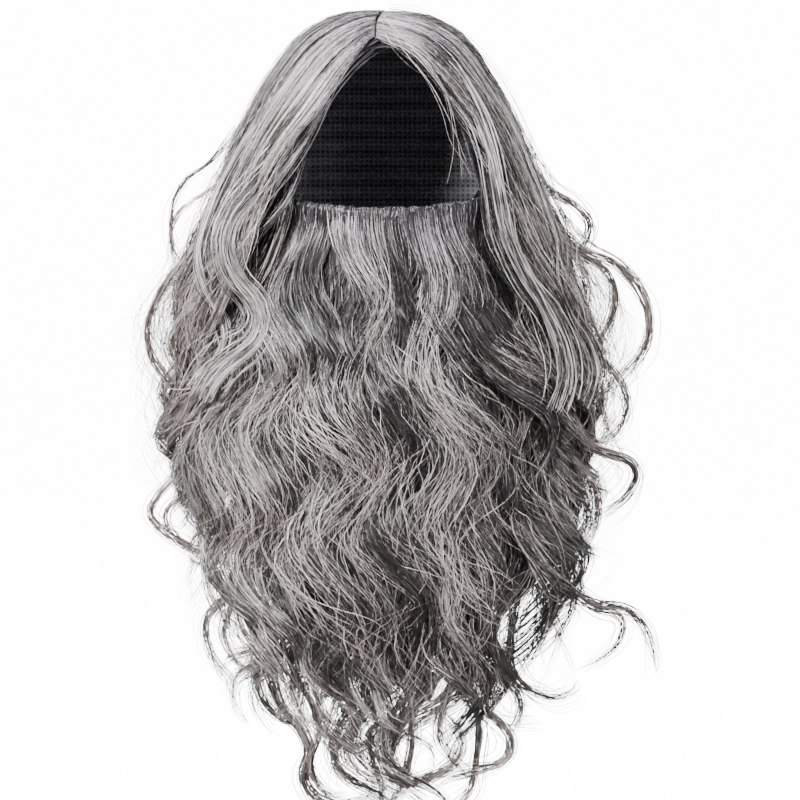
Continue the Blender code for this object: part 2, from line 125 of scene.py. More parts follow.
# Under-bodies: their columns, their depth, and the rows that they start and end at with the number of rows
UNDER_COLUMNS = 96
UNDER_DEPTH = 0.42
WIG_UNDER = (-1.0, 0.68, 42)
BEARD_UNDER = (0.024, 0.76, 40)

# Pixels of the photograph to metres, for the paths of its free curls, and how these are filled
PHOTO_PIXEL = 0.00075
PHOTO_MIDDLE = 385
PHOTO_TOP = 24
CURL_SAMPLES = 36
CURL_WIDTH = 0.0008
WIDE_LOCK = 0.008
WIG_FULLNESS = 2.0
BEARD_FULLNESS = 2.8

# Sections of the wig hair, from the parting at -1 over the widest level at 0 to the tips at 1
WIG = {
    "row": (-1.0, -0.5, -0.2, 0.0, 0.05, 0.12, 0.22, 0.36, 0.55, 0.75, 1.0),
    "side_in": (0.015, 0.015, 0.015, 0.04, 0.12, 0.16, 0.28, 0.48, 0.60, 0.62, 0.52),
    "side_out": (0.06, 0.15, 0.33, 0.54, 0.63, 0.76, 1.05, 1.46, 1.34, 1.25, 0.95),
    "back_in": (0.015, 0.015, 0.015, 0.04, 0.12, 0.15, 0.16, 0.18, 0.20, 0.20, 0.16),
    "back_out": (0.08, 0.16, 0.24, 0.30, 0.36, 0.44, 0.50, 0.55, 0.57, 0.54, 0.42),
    "front": (52, 52, 52, 52, 53, 56, 64, 71, 75, 77, 78),
    "swing": (0.0, 0.0, 0.15, 0.35, 0.42, 0.55, 0.75, 0.95, 1.0, 1.05, 1.1),
    "drape": (52, 52, 52, 51, 50, 49, 48, 48, 52, 58, 64),
    "drape_right": (52, 46, 41, 41, 43, 45, 47, 48, 52, 58, 64),
    "slim": (0.3, 0.9, 1.0, 0.9, 0.8, 0.6, 0.3, 0.0, 0.0, 0.0, 0.0),
    "bend": (0.0, 0.14, 0.36, 0.55, 0.65, 0.80, 0.92, 1.0, 1.0, 1.05, 1.1),
    "fill": (1.0, 1.0, 1.0, 1.0, 1.0, 0.95, 0.74, 0.45, 0.50, 0.42, 0.35),
    "narrow": (1.0,) * 11,
    "frizz": (0.0, 0.10, 0.25, 0.40, 0.45, 0.50, 0.60, 0.80, 1.0, 1.25, 1.5),
    "gather": (0.0, 0.25, 0.50, 0.62, 0.66, 0.72, 0.80, 0.86, 0.90, 0.92, 0.94),
}

# Sections of the beard, from the band at 0 to the tips at 1
BEARD = {
    "row": (0.0, 0.04, 0.12, 0.22, 0.35, 0.50, 0.70, 0.85, 1.0),
    "side": (0.0, 0.0, 0.05, 0.26, 0.56, 0.78, 0.88, 0.80, 0.62),
    "front": (0.0, 0.0, 0.06, 0.16, 0.24, 0.27, 0.26, 0.22, 0.16),
    "end": (79, 78, 72, 66, 63, 64, 64, 62, 60),
    "middle_out": (0.13, 0.17, 0.27, 0.36, 0.44, 0.46, 0.42, 0.34, 0.26),
    "end_out": (0.055, 0.055, 0.14, 0.26, 0.34, 0.38, 0.36, 0.30, 0.24),
    "swing": (0.0, 0.06, 0.35, 0.75, 1.0, 1.1, 1.1, 1.1, 1.1),
    "bend": (0.0, 0.40, 0.95, 1.05, 0.86, 0.68, 0.74, 0.90, 1.0),
    "fill": (1.0,) * 9,
    "narrow": (1.0, 1.0, 1.0, 1.0, 1.0, 0.95, 0.82, 0.72, 0.66),
    "slim": (0.0,) * 9,
    "frizz": (0.05, 0.10, 0.25, 0.40, 0.65, 0.90, 1.15, 1.3, 1.5),
    "gather": (0.0, 0.15, 0.45, 0.65, 0.78, 0.84, 0.90, 0.93, 0.95),
}

# How far down the free locks of the solids reach, from one side to the other
LEFT_REACH = (0.74, 1.00, 0.86, 1.22, 0.90, 1.02)
RIGHT_REACH = (0.80, 0.92, 1.02, 0.84, 0.96, 0.90)
BACK_REACH = (0.96, 0.86, 0.99, 0.90, 1.00, 0.88, 0.97, 0.92)
BEARD_REACH = (0.70, 0.84, 0.90, 1.00, 1.03, 0.98, 1.04, 1.02, 0.95, 0.88, 0.74)


def table(rows, column, at):
    """Smooth values from a table of sections, held level past its ends."""
    keys = np.array(rows["row"], float)
    values = np.array(rows[column], float)
    at = np.clip(at, keys[0], keys[-1])
    i = np.clip(np.searchsorted(keys, at, side="right") - 1, 0, len(keys) - 2)
    step = keys[i + 1] - keys[i]
    t = (at - keys[i]) / step
    before = values[np.maximum(i - 1, 0)]
    after = values[np.minimum(i + 2, len(keys) - 1)]
    span_before = np.where(i > 0, keys[i] - keys[np.maximum(i - 1, 0)], step)
    span_after = np.where(i + 2 < len(keys), keys[np.minimum(i + 2, len(keys) - 1)] - keys[i + 1], step)
    slope_a = (values[i + 1] - before) / (step + span_before) * step
    slope_b = (after - values[i]) / (step + span_after) * step
    first = (2 * t**3 - 3 * t**2 + 1) * values[i] + (t**3 - 2 * t**2 + t) * slope_a
    return first + (-2 * t**3 + 3 * t**2) * values[i + 1] + (t**3 - t**2) * slope_b


def unit(vectors):
    return vectors / np.maximum(np.linalg.norm(vectors, axis=-1, keepdims=True), 1e-9)


def smooth(t):
    t = np.clip(t, 0, 1)
    return t * t * (3 - 2 * t)


def stacked(*parts):
    return np.stack(parts, -1)


def wave_phase(angle):
    turn = np.radians(angle)
    return 2.2 * np.sin(turn + 0.6) + 1.5 * np.sin(3 * turn + 2.0)


def wig_flow(side, turn, row, depth, column="front", sway=1.0):
    """Points of the wig hair. The turn is 0 at a curtain's front edge and 1 at the back's middle."""
    side, turn, row, depth = np.broadcast_arrays(*(np.asarray(v, float) for v in (side, turn, row, depth)))
    dip = ROOT_DIP * np.clip((-0.86 - row) / 0.14, 0, 1) * np.clip(turn / ROOT_DIP_TURN, 0, 1) * (1 - depth)
    off_x, off_y = (
        ON_BAND + HALF_WIDTH * ((1 - depth) * table(WIG, inner, row) + depth * table(WIG, outer, row)) - dip
        for inner, outer in (("side_in", "side_out"), ("back_in", "back_out"))
    )
    front = table(WIG, column, row)
    angle = front + turn * (180 - front)
    swing = WIG_SWING * table(WIG, "swing", row) * sway
    run = row * np.where(row < 0, DOME_REACH, WIG_DROP)
    phase = 2 * math.pi * run / WIG_WAVE + wave_phase(side * angle)
    end = np.radians(side * angle + np.degrees(swing * np.sin(phase) / (HALF_WIDTH + off_x)))
    push = WAVE_PUSH * swing * np.sin(phase + 1.3) * (0.3 + 0.7 * depth)
    off_x = off_x + push
    off_y = off_y + push
    hanging = stacked(
        (HALF_WIDTH + off_x) * np.sin(end),
        -(HALF_LENGTH + off_y) * np.cos(end),
        -CROWN_HEIGHT - row * WIG_DROP,
    )
    along = (-PARTING_START + np.clip(2 * turn, 0, 1) * (PARTING_START + PARTING_END)) / HALF_LENGTH
    start = stacked(0 * along, along, np.sqrt(1 - along**2))
    level = stacked(np.sin(end), -np.cos(end), 0 * end)
    between = np.arccos(np.clip((start * level).sum(-1), -1, 1))
    first = np.where(turn <= 0.5, PARTING_GAP, CROWN_GAP) / DOME_REACH
    share = first + (1 - first) * (1 + np.minimum(row, 0))
    from_start, from_level = (np.sin(part * between)[..., None] for part in (1 - share, share))
    direction = (from_start * start + from_level * level) / np.sin(between)[..., None]
    off_z = off_y + (off_x - off_y) * np.abs(direction[..., 0])
    across = np.hypot(direction[..., 0], direction[..., 1])
    reach = (across**DOME_POWER + np.abs(direction[..., 2]) ** DOME_POWER) ** (-1 / DOME_POWER)
    combed = stacked(
        (HALF_WIDTH + off_x) * direction[..., 0] * reach,
        (HALF_LENGTH + off_y) * direction[..., 1] * reach,
        (CROWN_HEIGHT + off_z) * direction[..., 2] * reach - CROWN_HEIGHT,
    )
    return np.where(row[..., None] < 0, combed, hanging)


def back_flow(turn, row, depth, column="front", sway=1.0):
    """Points of the wig's back. The turn runs from -1 to 1 behind the cap."""
    side = np.where(np.asarray(turn) < 0, 1.0, -1.0)
    return wig_flow(side, 1 - 0.5 * np.abs(turn), row, depth, column, sway)


def beard_thickness(turn, row):
    middle = table(BEARD, "middle_out", row)
    end_out = table(BEARD, "end_out", row)
    return HALF_WIDTH * (end_out + (middle - end_out) * np.cos(np.clip(turn, -1, 1) * math.pi / 2))


def beard_flow(turn, row, depth, column="end", sway=1.0):
    """Points of the beard. The turn runs from -1 to 1 across it."""
    turn, row, depth = np.broadcast_arrays(*(np.asarray(v, float) for v in (turn, row, depth)))
    off = ON_BASE + BEARD_LIFT + beard_thickness(turn, row) * depth
    side = HALF_WIDTH + HALF_WIDTH * table(BEARD, "side", row) + off
    front = HALF_LENGTH + HALF_WIDTH * table(BEARD, "front", row) + off
    swing = BEARD_SWING * table(BEARD, "swing", row) * sway
    phase = 2 * math.pi * row * BEARD_LENGTH / BEARD_WAVE + 1.6 * np.sin(2.3 * turn + 0.4)
    angle = np.radians(turn * table(BEARD, column, row)) + swing * np.sin(phase) / front
    drop = BEARD_TOP - BEARD_RISE * turn**2 + row * BEARD_LENGTH
    return stacked(side * np.sin(angle), -front * np.cos(angle), -drop)


# Each region of hair: how it is laid out, the column for the edge of its loose strands, its sections, its
# two ends, how far its locks reach, and how long a row is above and below its zero
REGIONS = {
    "left": (partial(wig_flow, 1), "drape", WIG, (0.0, 0.5), LEFT_REACH, (DOME_REACH, WIG_DROP)),
    "right": (partial(wig_flow, -1), "drape_right", WIG, (0.0, 0.5), RIGHT_REACH, (DOME_REACH, WIG_DROP)),
    "back": (back_flow, "drape", WIG, (-1.0, 1.0), BACK_REACH, (DOME_REACH, WIG_DROP)),
    "beard": (beard_flow, "end", BEARD, (-0.97, 0.97), BEARD_REACH, (BEARD_LENGTH, BEARD_LENGTH)),
}


def shape_of(region, turn, row, depth):
    """Points of a region's flow with the directions across it and outwards there."""
    flow, column = REGIONS[region][:2]
    points, further, left, right = (
        flow(turn + aside, row, depth + out, column, OWN_SWAY)
        for aside, out in ((0, 0), (0, 0.2), (0.004, 0), (-0.004, 0))
    )
    outward = unit(further - points)
    across = left - right
    across = unit(across - outward * (across * outward).sum(-1, keepdims=True))
    return points, across, outward


def running_sum(values, step):
    """The integral along each strand, from zero at its root."""
    middle = (values[:, 1:] + values[:, :-1]) / 2 * np.diff(step)
    return np.concatenate((np.zeros((len(values), 1)), np.cumsum(middle, axis=1)), axis=1)


def eased(points, rows):
    """Rounds each strand's bend where combed hair turns to hanging hair."""
    near = smooth(1 - np.abs(rows + BEND_ROW) / BEND_REACH)[:, 1:-1, None]
    for _ in range(BEND_PASSES):
        middle = (points[:, 2:] + points[:, :-2]) / 2
        points[:, 1:-1] += 0.5 * near * (middle - points[:, 1:-1])
    return points


def parting_shift(y, rows):
    """How far sideways the roots lie, so that the parting runs aslant as it comes forwards."""
    forwards = smooth((PARTING_SLANT_FROM - y) / (PARTING_START + PARTING_SLANT_FROM))
    shift = PARTING_SHIFT_BACK + (PARTING_SHIFT - PARTING_SHIFT_BACK) * forwards
    return shift * (1 - smooth((rows + 1) / 0.25))


def grow(region, layer, seed):
    """Strands of one layer of a region: their points, outward directions and tones.

    They leave the roots evenly and gather into clumps further down. A clump meanders: its direction
    swings to and fro as it runs down, more widely towards its tip, where it ends in open curls. Clumps
    that lie side by side make a lock, and swing nearly together."""
    sections, (first, last), reaches, lengths = REGIONS[region][2:]
    rng = np.random.default_rng(seed)
    its = SimpleNamespace(**layer)
    count = its.clumps
    total = count * its.strands
    samples = its.samples
    share = np.linspace(0, 1, samples)
    share = 1.2 * share - 0.2 * share**2
    own = np.repeat(np.arange(count), its.strands)

    # Where each clump lies, and the lock that it belongs to
    place = (np.arange(count) + rng.uniform(0.1, 0.9, count)) / count
    span = layer.get("span", (first, last))
    centre = span[0] + (span[1] - span[0]) * place
    lock = (place * its.locks).astype(int)

    def drawn(low, high, free=0.25):
        """A value for each clump, which is mostly its lock's."""
        shared = rng.uniform(low, high, its.locks)[lock]
        return (1 - free) * shared + free * rng.uniform(low, high, count)

    reach_place = np.clip((centre - first) / (last - first), 0, 1 - 1e-6)
    reach = np.array(reaches)[(reach_place * len(reaches)).astype(int)] * drawn(*its.reach, 0.6)
    depth = drawn(*its.depth, 0.55)
    root = rng.choice(its.roots, count)
    bend_of = its.bend * drawn(0.5, 1.4)
    curl_of = drawn(*its.curl, 0.5)
    wave_of = drawn(*its.wave, 0.4)
    tip_of = wave_of * drawn(*its.tip_wave, 0.6)
    if "starts" in layer:
        start_of = np.array(its.starts)[lock] + drawn(-0.35, 0.35, 0.8)
    else:
        start_of = 2.4 * np.sin(its.drift * centre + 0.7 * its.phase)
        start_of += 1.1 * np.sin(2.3 * its.drift * centre + 2.1 * its.phase)
        start_of += its.phase + drawn(-1.0, 1.0, 0.3)
    tilt_of = drawn(0.8, 2.4)
    flat_of = drawn(0.3, 0.8)
    size_of = its.radius * drawn(0.6, 1.45, 0.8)
    tone_and_painted_shade_of = drawn(-0.22, 0.22, 0.5)
    warm_of = drawn(0.0, 0.8, 0.6)
    # Painted light and shade of whole locks: the listed values darken the recessed locks, which are also
    # laid deeper, and lighten others, on top of each lock's random tone
    if "shades" in layer:
        tone_and_painted_shade_of = 0.5 * tone_and_painted_shade_of + np.array(its.shades)[lock]
        depth = depth * (1 + 1.3 * np.minimum(tone_and_painted_shade_of, 0))

    # Each strand of the clump
    spacing = (span[1] - span[0]) / count
    turn = centre[own] + spacing * its.spread * rng.uniform(-1, 1, total)
    turn = np.clip(turn, span[0], span[1])
    depth_of = np.clip(depth[own] + rng.normal(0, its.depth_spread, total), 0.02, its.deepest)
    tips = reach[own] * (1 - np.abs(rng.normal(0, its.stagger, total)))
    roots = root[own] + rng.uniform(-1, 1, total) * its.root_spread
    roots = np.maximum(roots, sections["row"][0])
    guess = roots[:, None] + (tips - roots)[:, None] * share
    run_root = np.where(roots < 0, roots * lengths[0], roots * lengths[1])
    run_tip = tips * lengths[1]

    # How far its direction swings at each place, and where in its swing it is
    near_tip = smooth((share[None] - 0.55) / 0.45)
    bend = bend_of[own] * rng.normal(1, 0.05, total)
    curl = curl_of[own] * rng.normal(1, 0.06, total)
    swing = bend[:, None] * table(sections, "bend", guess) + curl[:, None] * near_tip
    wave = wave_of[own][:, None]
    length = (run_tip - run_root) * 1.15
    turned = running_sum(1 / (wave + (tip_of[own][:, None] - wave) * near_tip), share) * length[:, None]
    lag = rng.normal(0, its.lag, total)[:, None] * (0.3 + 0.7 * share)
    phase = start_of[own][:, None] + 2 * math.pi * turned + lag
    angle = swing * np.sin(phase)
    forward = running_sum(np.cos(angle), share)
    sideways = running_sum(np.sin(angle), share)
    scale = ((run_tip - run_root) / forward[:, -1])[:, None]
    run = run_root[:, None] + forward * scale
    rows = np.where(run < 0, run / lengths[0], run / lengths[1])
    sideways = sideways * scale
    sideways = sideways - sideways.mean(1, keepdims=True) * smooth(share / 0.5)
    heave = np.sin(swing * flat_of[own][:, None] * np.sin(phase + tilt_of[own][:, None]))
    outwards = running_sum(heave, share) * scale
    outwards = outwards - outwards.mean(1, keepdims=True) * smooth(share / 0.5)

    # Into the clump, and out to its depth
    loyal = np.where(rng.uniform(0, 1, total) < its.straying, rng.uniform(0.1, 0.6, total), 1.0)
    gather = table(sections, "gather", rows) * (its.gather * loyal)[:, None]
    lift = smooth((rows - roots[:, None]) / its.rise)
    deep = depth_of[:, None] + (depth[own] - depth_of)[:, None] * gather * 0.8
    deep = deep * (its.root_depth + (1 - its.root_depth) * lift)
    deep = deep * (1 - its.inside * (1 - table(sections, "fill", rows)))
    deep = deep * (1 - its.slim * table(sections, "slim", rows))
    turns = turn[:, None] + (centre[own] - turn)[:, None] * gather
    turns = turns * table(sections, "narrow", rows)
    points, across, outward = shape_of(region, turns, rows, deep)
    if region != "beard":
        points = eased(points, rows)
        points[..., 0] += parting_shift(points[..., 1], rows)
    radius = size_of[own][:, None] * (1 - 0.45 * smooth((share - 0.5) / 0.5))
    radius = radius * smooth((rows - roots[:, None]) / 0.5)
    angle = rng.uniform(0, 2 * math.pi, total)
    off = np.sqrt(rng.uniform(0, 1, total))
    wide = (off * np.cos(angle))[:, None] * radius + sideways
    high = (off * np.sin(angle))[:, None] * radius * 0.7 + outwards

    # Each strand's own frizz, a few of them straying far
    stray = rng.choice(its.frizz, total, p=FRIZZ_SHARES)
    grown = stray[:, None] * table(sections, "frizz", rows)
    frizz = frizz_of(share[None] * length[:, None], rng) * grown
    points = points + across * (wide + frizz[0])[..., None] + outward * (high + frizz[1] * 0.7)[..., None]
    points[..., 2] += frizz[1] * 0.35

    band = 0.10 * np.sin(3.1 * its.drift * centre + 1.7 * its.phase)
    light = rng.uniform(0, 1, total) < its.light + (band + tone_and_painted_shade_of)[own]
    tone = np.where(light, rng.normal(LIGHT_TONE, 0.09, total), rng.normal(DARK_TONE, 0.09, total))
    tone = BLEND_TONE * its.blend + tone * (1 - its.blend)
    # Each lock's own tone with its painted shade, strongest near the roots and fading towards the tips
    tone_and_painted_shade = 0.8 * (band + tone_and_painted_shade_of)[own][:, None] * (1 - 0.7 * smooth((share - 0.45) / 0.4))
    tone = tone[:, None] + tone_and_painted_shade + its.fade[0] + (its.fade[1] - its.fade[0]) * share
    return {
        "points": kept_inside(points),
        "outward": outward,
        "share": np.broadcast_to(share, (total, samples)),
        "tone": np.clip(tone, 0, 1),
        "warm": np.clip(warm_of[own] + (stray > 0.003) * 0.3 + its.brown, 0, 1),
        "twist": rng.uniform(-1, 1, total) * its.twist,
        "seed": rng.uniform(0, 1, total),
        "girth": np.ones(total),
        "cells": GRAIN_CELLS,
    }


def frizz_of(along, rng):
    """Small slow waves of each strand's own, in two directions."""
    frizz = np.zeros((2, *along.shape))
    for period, weight in FRIZZ_WAVES:
        for axis in (0, 1):
            times = rng.uniform(0.75, 1.3, (len(along), 1)) / period
            start = rng.uniform(0, 1, (len(along), 1))
            frizz[axis] += weight * np.sin(2 * math.pi * (along * times + start))
    return frizz


def through(knots, count):
    """A smooth curve through points, as evenly spaced points."""
    knots = np.concatenate((2 * knots[:1] - knots[1:2], knots, 2 * knots[-1:] - knots[-2:-1]))
    t = np.linspace(0, 1, 12, endpoint=False)[None, :, None]
    a, b, c, d = (knots[i : len(knots) - 3 + i, None] for i in range(4))
    fine = 0.5 * (2 * b + (c - a) * t + (2 * a - 5 * b + 4 * c - d) * t**2 + (3 * b - a - 3 * c + d) * t**3)
    fine = np.concatenate((fine.reshape(-1, 3), knots[-2:-1]))
    run = np.concatenate(((0,), np.cumsum(np.linalg.norm(np.diff(fine, axis=0), axis=1))))
    at = np.linspace(0, run[-1], count)
    return stacked(*(np.interp(at, run, values) for values in fine.T)), run[-1]


def curls(locks, fullness, seed):
    """Strands of the free curls, each bundle along its own path."""
    rng = np.random.default_rng(seed)
    made = []
    for thick, strands, light, forwards, path in locks:
        free = thick < WIDE_LOCK
        strands = int(strands * (fullness if free else 1))
        thick = thick * (1 + 0.18 * (fullness - 2)) if free else thick
        picked = np.array(path, float).reshape(-1, 2)
        knots = stacked(
            (picked[:, 0] - PHOTO_MIDDLE) * PHOTO_PIXEL,
            np.interp(np.linspace(0, 1, len(picked)), np.linspace(0, 1, len(forwards)), forwards),
            (PHOTO_TOP - picked[:, 1]) * PHOTO_PIXEL,
        )
        centre, length = through(knots, 4 * CURL_SAMPLES)
        down = unit(np.gradient(centre, axis=0))
        side = unit(np.cross(down, (0.0, 1.0, 0.0)))
        share = np.linspace(0, 1, CURL_SAMPLES)
        ends = 1 - np.abs(rng.normal(0, 0.07, strands))
        at = np.clip(share[None] * ends[:, None] * (len(centre) - 1), 0, len(centre) - 1)
        point, line = (stacked(*(np.interp(at, np.arange(len(centre)), values) for values in curve.T))
                       for curve in (centre, side))
        angle = rng.uniform(0, 2 * math.pi, strands)[:, None]
        off = np.sqrt(rng.uniform(0, 1, strands))[:, None]
        loose = np.where(rng.uniform(0, 1, strands) < 0.35, rng.uniform(1.4, 3.2, strands), 1.0)[:, None]
        swell = 0.9 + 1.1 * free * (1 - smooth(share / 0.35)) + 0.5 * smooth((share - 0.7) / 0.3)
        radius = thick / 2 * swell * loose
        wide = radius * off * np.cos(angle)
        high = radius * off * np.sin(angle) * np.clip(0.0045 / thick, 0.3, 1)
        frizz = frizz_of(share[None] * ends[:, None] * length, rng)
        frizz = frizz * (0.0007 + 0.0005 * free) * loose * (0.3 + share)
        point = point + line * (wide + frizz[0])[..., None]
        point[..., 1] += high + frizz[1]
        tone = np.where(
            rng.uniform(0, 1, strands) < light,
            rng.normal(LIGHT_TONE, 0.08, strands),
            rng.normal(DARK_TONE + (0.40 if free else 0.06), 0.08, strands),
        )
        hair = {
            "points": kept_inside(point),
            "outward": np.broadcast_to((0.0, -1.0, 0.0), point.shape),
            "share": np.broadcast_to(0.4 * free + 0.6 * share, point.shape[:2]),
            "tone": np.clip(tone, 0, 1)[:, None],
            "warm": np.clip(rng.normal(0.95 if free and light < 0.9 else 0.1, 0.2, strands), 0, 1),
            "twist": rng.uniform(-1, 1, strands) * 0.9,
            "seed": rng.uniform(0, 1, strands),
            "girth": np.full(strands, 0.45 if light > 0.9 else 0.70 if free else 0.80),
        }
        made.append(hair)
    joined = {key: np.concatenate([hair[key] for hair in made]) for key in made[0]}
    return dict(joined, cells=CURL_CELLS)


def kept_inside(points):
    """Bends what would leave the object's room back into it."""
    over = np.maximum(points - (ROOM_HIGH - ROOM_SOFTNESS), 0)
    under = np.maximum((ROOM_LOW + ROOM_SOFTNESS) - points, 0)
    over = over - ROOM_SOFTNESS * np.tanh(over / ROOM_SOFTNESS)
    under = under - ROOM_SOFTNESS * np.tanh(under / ROOM_SOFTNESS)
    return points - over + under


def ribbons(name, hair, width, *dress):
    """Joins strands into one mesh of ribbons, each turned a little about its own line."""
    points = hair["points"]
    share = hair["share"]
    seed = hair["seed"][:, None]
    total, samples = share.shape
    down = unit(np.gradient(points, axis=1))
    side = unit(np.cross(down, hair["outward"]))
    up = np.cross(side, down)
    twist = (hair["twist"][:, None] + 0.5 * np.sin(6 * share + 7 * seed))[..., None]
    side = side * np.cos(twist) + up * np.sin(twist)
    taper = np.minimum(1, 0.35 + 3.2 * (1 - share))
    breadth = width / 2 * taper * hair["girth"][:, None] * (0.55 + 0.9 * seed)
    half = side * breadth[..., None]
    verts = np.stack((points - half, points + half), 2).reshape(-1, 3)
    base = (np.arange(total)[:, None] * samples + np.arange(samples - 1)[None]) * 2
    faces = stacked(base, base + 1, base + 3, base + 2).reshape(-1, 4)
    # Painted highlight: the tone is raised where a strand faces outwards and lies square to the highlight
    # axis, and lowered a little everywhere else
    facing = np.clip((hair["outward"] * PAINTED_HIGHLIGHT_AXIS).sum(-1), 0, 1)
    shine = facing * np.exp(-(((down * PAINTED_HIGHLIGHT_AXIS).sum(-1) / PAINTED_HIGHLIGHT_SPREAD) ** 2))
    tone = hair["tone"] + PAINTED_HIGHLIGHT_TONE * (shine - 0.28) * (0.35 + 0.65 * hair["tone"])
    values = {
        "tone": np.repeat(np.clip(tone, 0, 1.1).ravel(), 2),
        "warm": np.repeat(hair["warm"], samples * 2),
        "seed": np.repeat(hair["seed"], samples * 2),
        "along": np.repeat(share.ravel(), 2),
        "grain": np.repeat(share.ravel(), 2) * hair["cells"],
        "edge": np.tile((0.0, 1.0), total * samples),
        "crosswise": np.repeat(side.reshape(-1, 3), 2, axis=0),
    }
    made_mesh(name, verts, faces, values, *dress)


def placed(name, data):
    made = bpy.data.objects.new(name, data)
    bpy.context.scene.collection.objects.link(made)
    return made


def made_mesh(name, verts, faces, values, surface, slot, solid):
    """A piece of the looks: its values are its vertices' own, its solid is the node that it replaces."""
    mesh = bpy.data.meshes.new(name)
    mesh.vertices.add(len(verts))
    mesh.vertices.foreach_set("co", np.asarray(verts, np.float32).ravel())
    mesh.loops.add(faces.size)
    mesh.loops.foreach_set("vertex_index", faces.astype(np.int32).ravel())
    mesh.polygons.add(len(faces))
    mesh.polygons.foreach_set("loop_start", np.arange(0, faces.size, faces.shape[1], dtype=np.int32))
    mesh.update(calc_edges=True)
    mesh.validate()
    for key, value in values.items():
        kind, field = ("FLOAT_VECTOR", "vector") if value.ndim == 2 else ("FLOAT", "value")
        mesh.attributes.new(key, kind, "POINT").data.foreach_set(field, value.astype(np.float32).ravel())
    mesh.shade_smooth()
    piece = placed(name, mesh)
    mesh.materials.append(surface)
    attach(piece, "root")
    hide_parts(solid)


def under_body(name, region, rows, seed, *dress):
    """The mass under the strands, painted dark as the shade inside the hair: a closed slab with a fine
    ridge for each tress.
    """
    flow, _, _, (first, last), reaches, _ = REGIONS[region]
    top, lowest, count = rows
    rng = np.random.default_rng(seed)
    turn = np.linspace(first, last, UNDER_COLUMNS)
    places = first + (last - first) * (np.arange(len(reaches)) + 0.5) / len(reaches)
    ends = lowest * np.minimum(np.interp(turn, places, reaches), 1.0)
    uneven = rng.normal(0, 0.012, UNDER_COLUMNS)
    ends = ends * (1 + 0.04 * np.sin(turn * 21) + uneven - 0.30 * np.abs(turn) ** 3)
    step = np.linspace(0, 1, count)
    row = top + (ends - top)[None] * step[:, None]
    ridge = 1 - 0.22 * rng.uniform(0, 1, UNDER_COLUMNS)[None] - 0.10 * np.abs(np.sin(turn * 60))[None]
    thin = 1 - smooth((step - 0.75) / 0.25)[:, None] * 0.85
    root = smooth((row - top) / 0.30) * 0.25 + 0.75
    outer = flow(turn[None], row, UNDER_DEPTH * ridge * thin * root)
    if region != "beard":
        outer = eased(outer.transpose(1, 0, 2).copy(), row.T).transpose(1, 0, 2)
    inner = flow(turn[None], row, 0.03 + 0 * row)
    verts = np.concatenate((outer.reshape(-1, 3), inner.reshape(-1, 3)))
    at = np.arange(row.size).reshape(row.shape)
    deep = at + row.size
    quads = [
        stacked(at[:-1, :-1], at[:-1, 1:], at[1:, 1:], at[1:, :-1]).reshape(-1, 4),
        stacked(deep[:-1, :-1], deep[1:, :-1], deep[1:, 1:], deep[:-1, 1:]).reshape(-1, 4),
    ]
    rims = ((at[0], deep[0]), (deep[-1], at[-1]), (deep[:, 0], at[:, 0]), (at[:, -1], deep[:, -1]))
    for near, far in rims:
        quads.append(stacked(near[:-1], far[:-1], far[1:], near[1:]))
    # Painted shade: dark tones for the shade inside the hair, a little lighter towards the body's ends, and
    # darker still on its inner face against the cap
    tone = np.clip(rng.normal(0.22, 0.12, UNDER_COLUMNS), 0, 1) + 0.08 * smooth((step - 0.6) / 0.4)[:, None]
    along = np.tile(np.repeat(step, UNDER_COLUMNS), 2)
    values = {
        "tone": np.concatenate((tone, tone * 0.3)).ravel(),
        "warm": np.full(len(verts), 0.4),
        "seed": np.full(len(verts), 0.5),
        "along": along,
        "grain": along * UNDER_CELLS,
        "edge": np.tile(np.arange(UNDER_COLUMNS) * 4.0, 2 * count),
    }
    made_mesh(name, verts, np.concatenate(quads), values, *dress)


def sweep(name, rings, values, *dress):
    """A closed body through rings of points, drawn together at both ends."""
    first = np.broadcast_to(rings[:1].mean(1, keepdims=True), rings[:1].shape)
    last = np.broadcast_to(rings[-1:].mean(1, keepdims=True), rings[-1:].shape)
    rings = np.concatenate((first, rings, last))
    count, around = rings.shape[:2]
    at = np.arange(count * around).reshape(count, around)
    after = np.roll(at, -1, axis=1)
    faces = stacked(at[:-1], at[1:], after[1:], after[:-1]).reshape(-1, 4)
    padded = {key: np.pad(value, ((1, 1), (0, 0)), mode="edge").ravel() for key, value in values.items()}
    made_mesh(name, rings.reshape(-1, 3), faces, padded, *dress)


def on_beard(turn, row, off):
    """Points at a distance in metres outside the beard's backing."""
    return beard_flow(turn, row, (off - BEARD_LIFT) / beard_thickness(turn, row), sway=OWN_SWAY)


def gather_thickness(turn):
    return GATHER_DEPTH * (GATHER_END_SHARE + (1 - GATHER_END_SHARE) * np.cos(turn * math.pi / 2))


def edge_sway(turn):
    """How far the beard's top edge rises and dips along its run."""
    return 0.0007 * np.sin(turn * 31) * np.sin(turn * 13 + 1) + 0.0004 * np.sin(turn * 83)


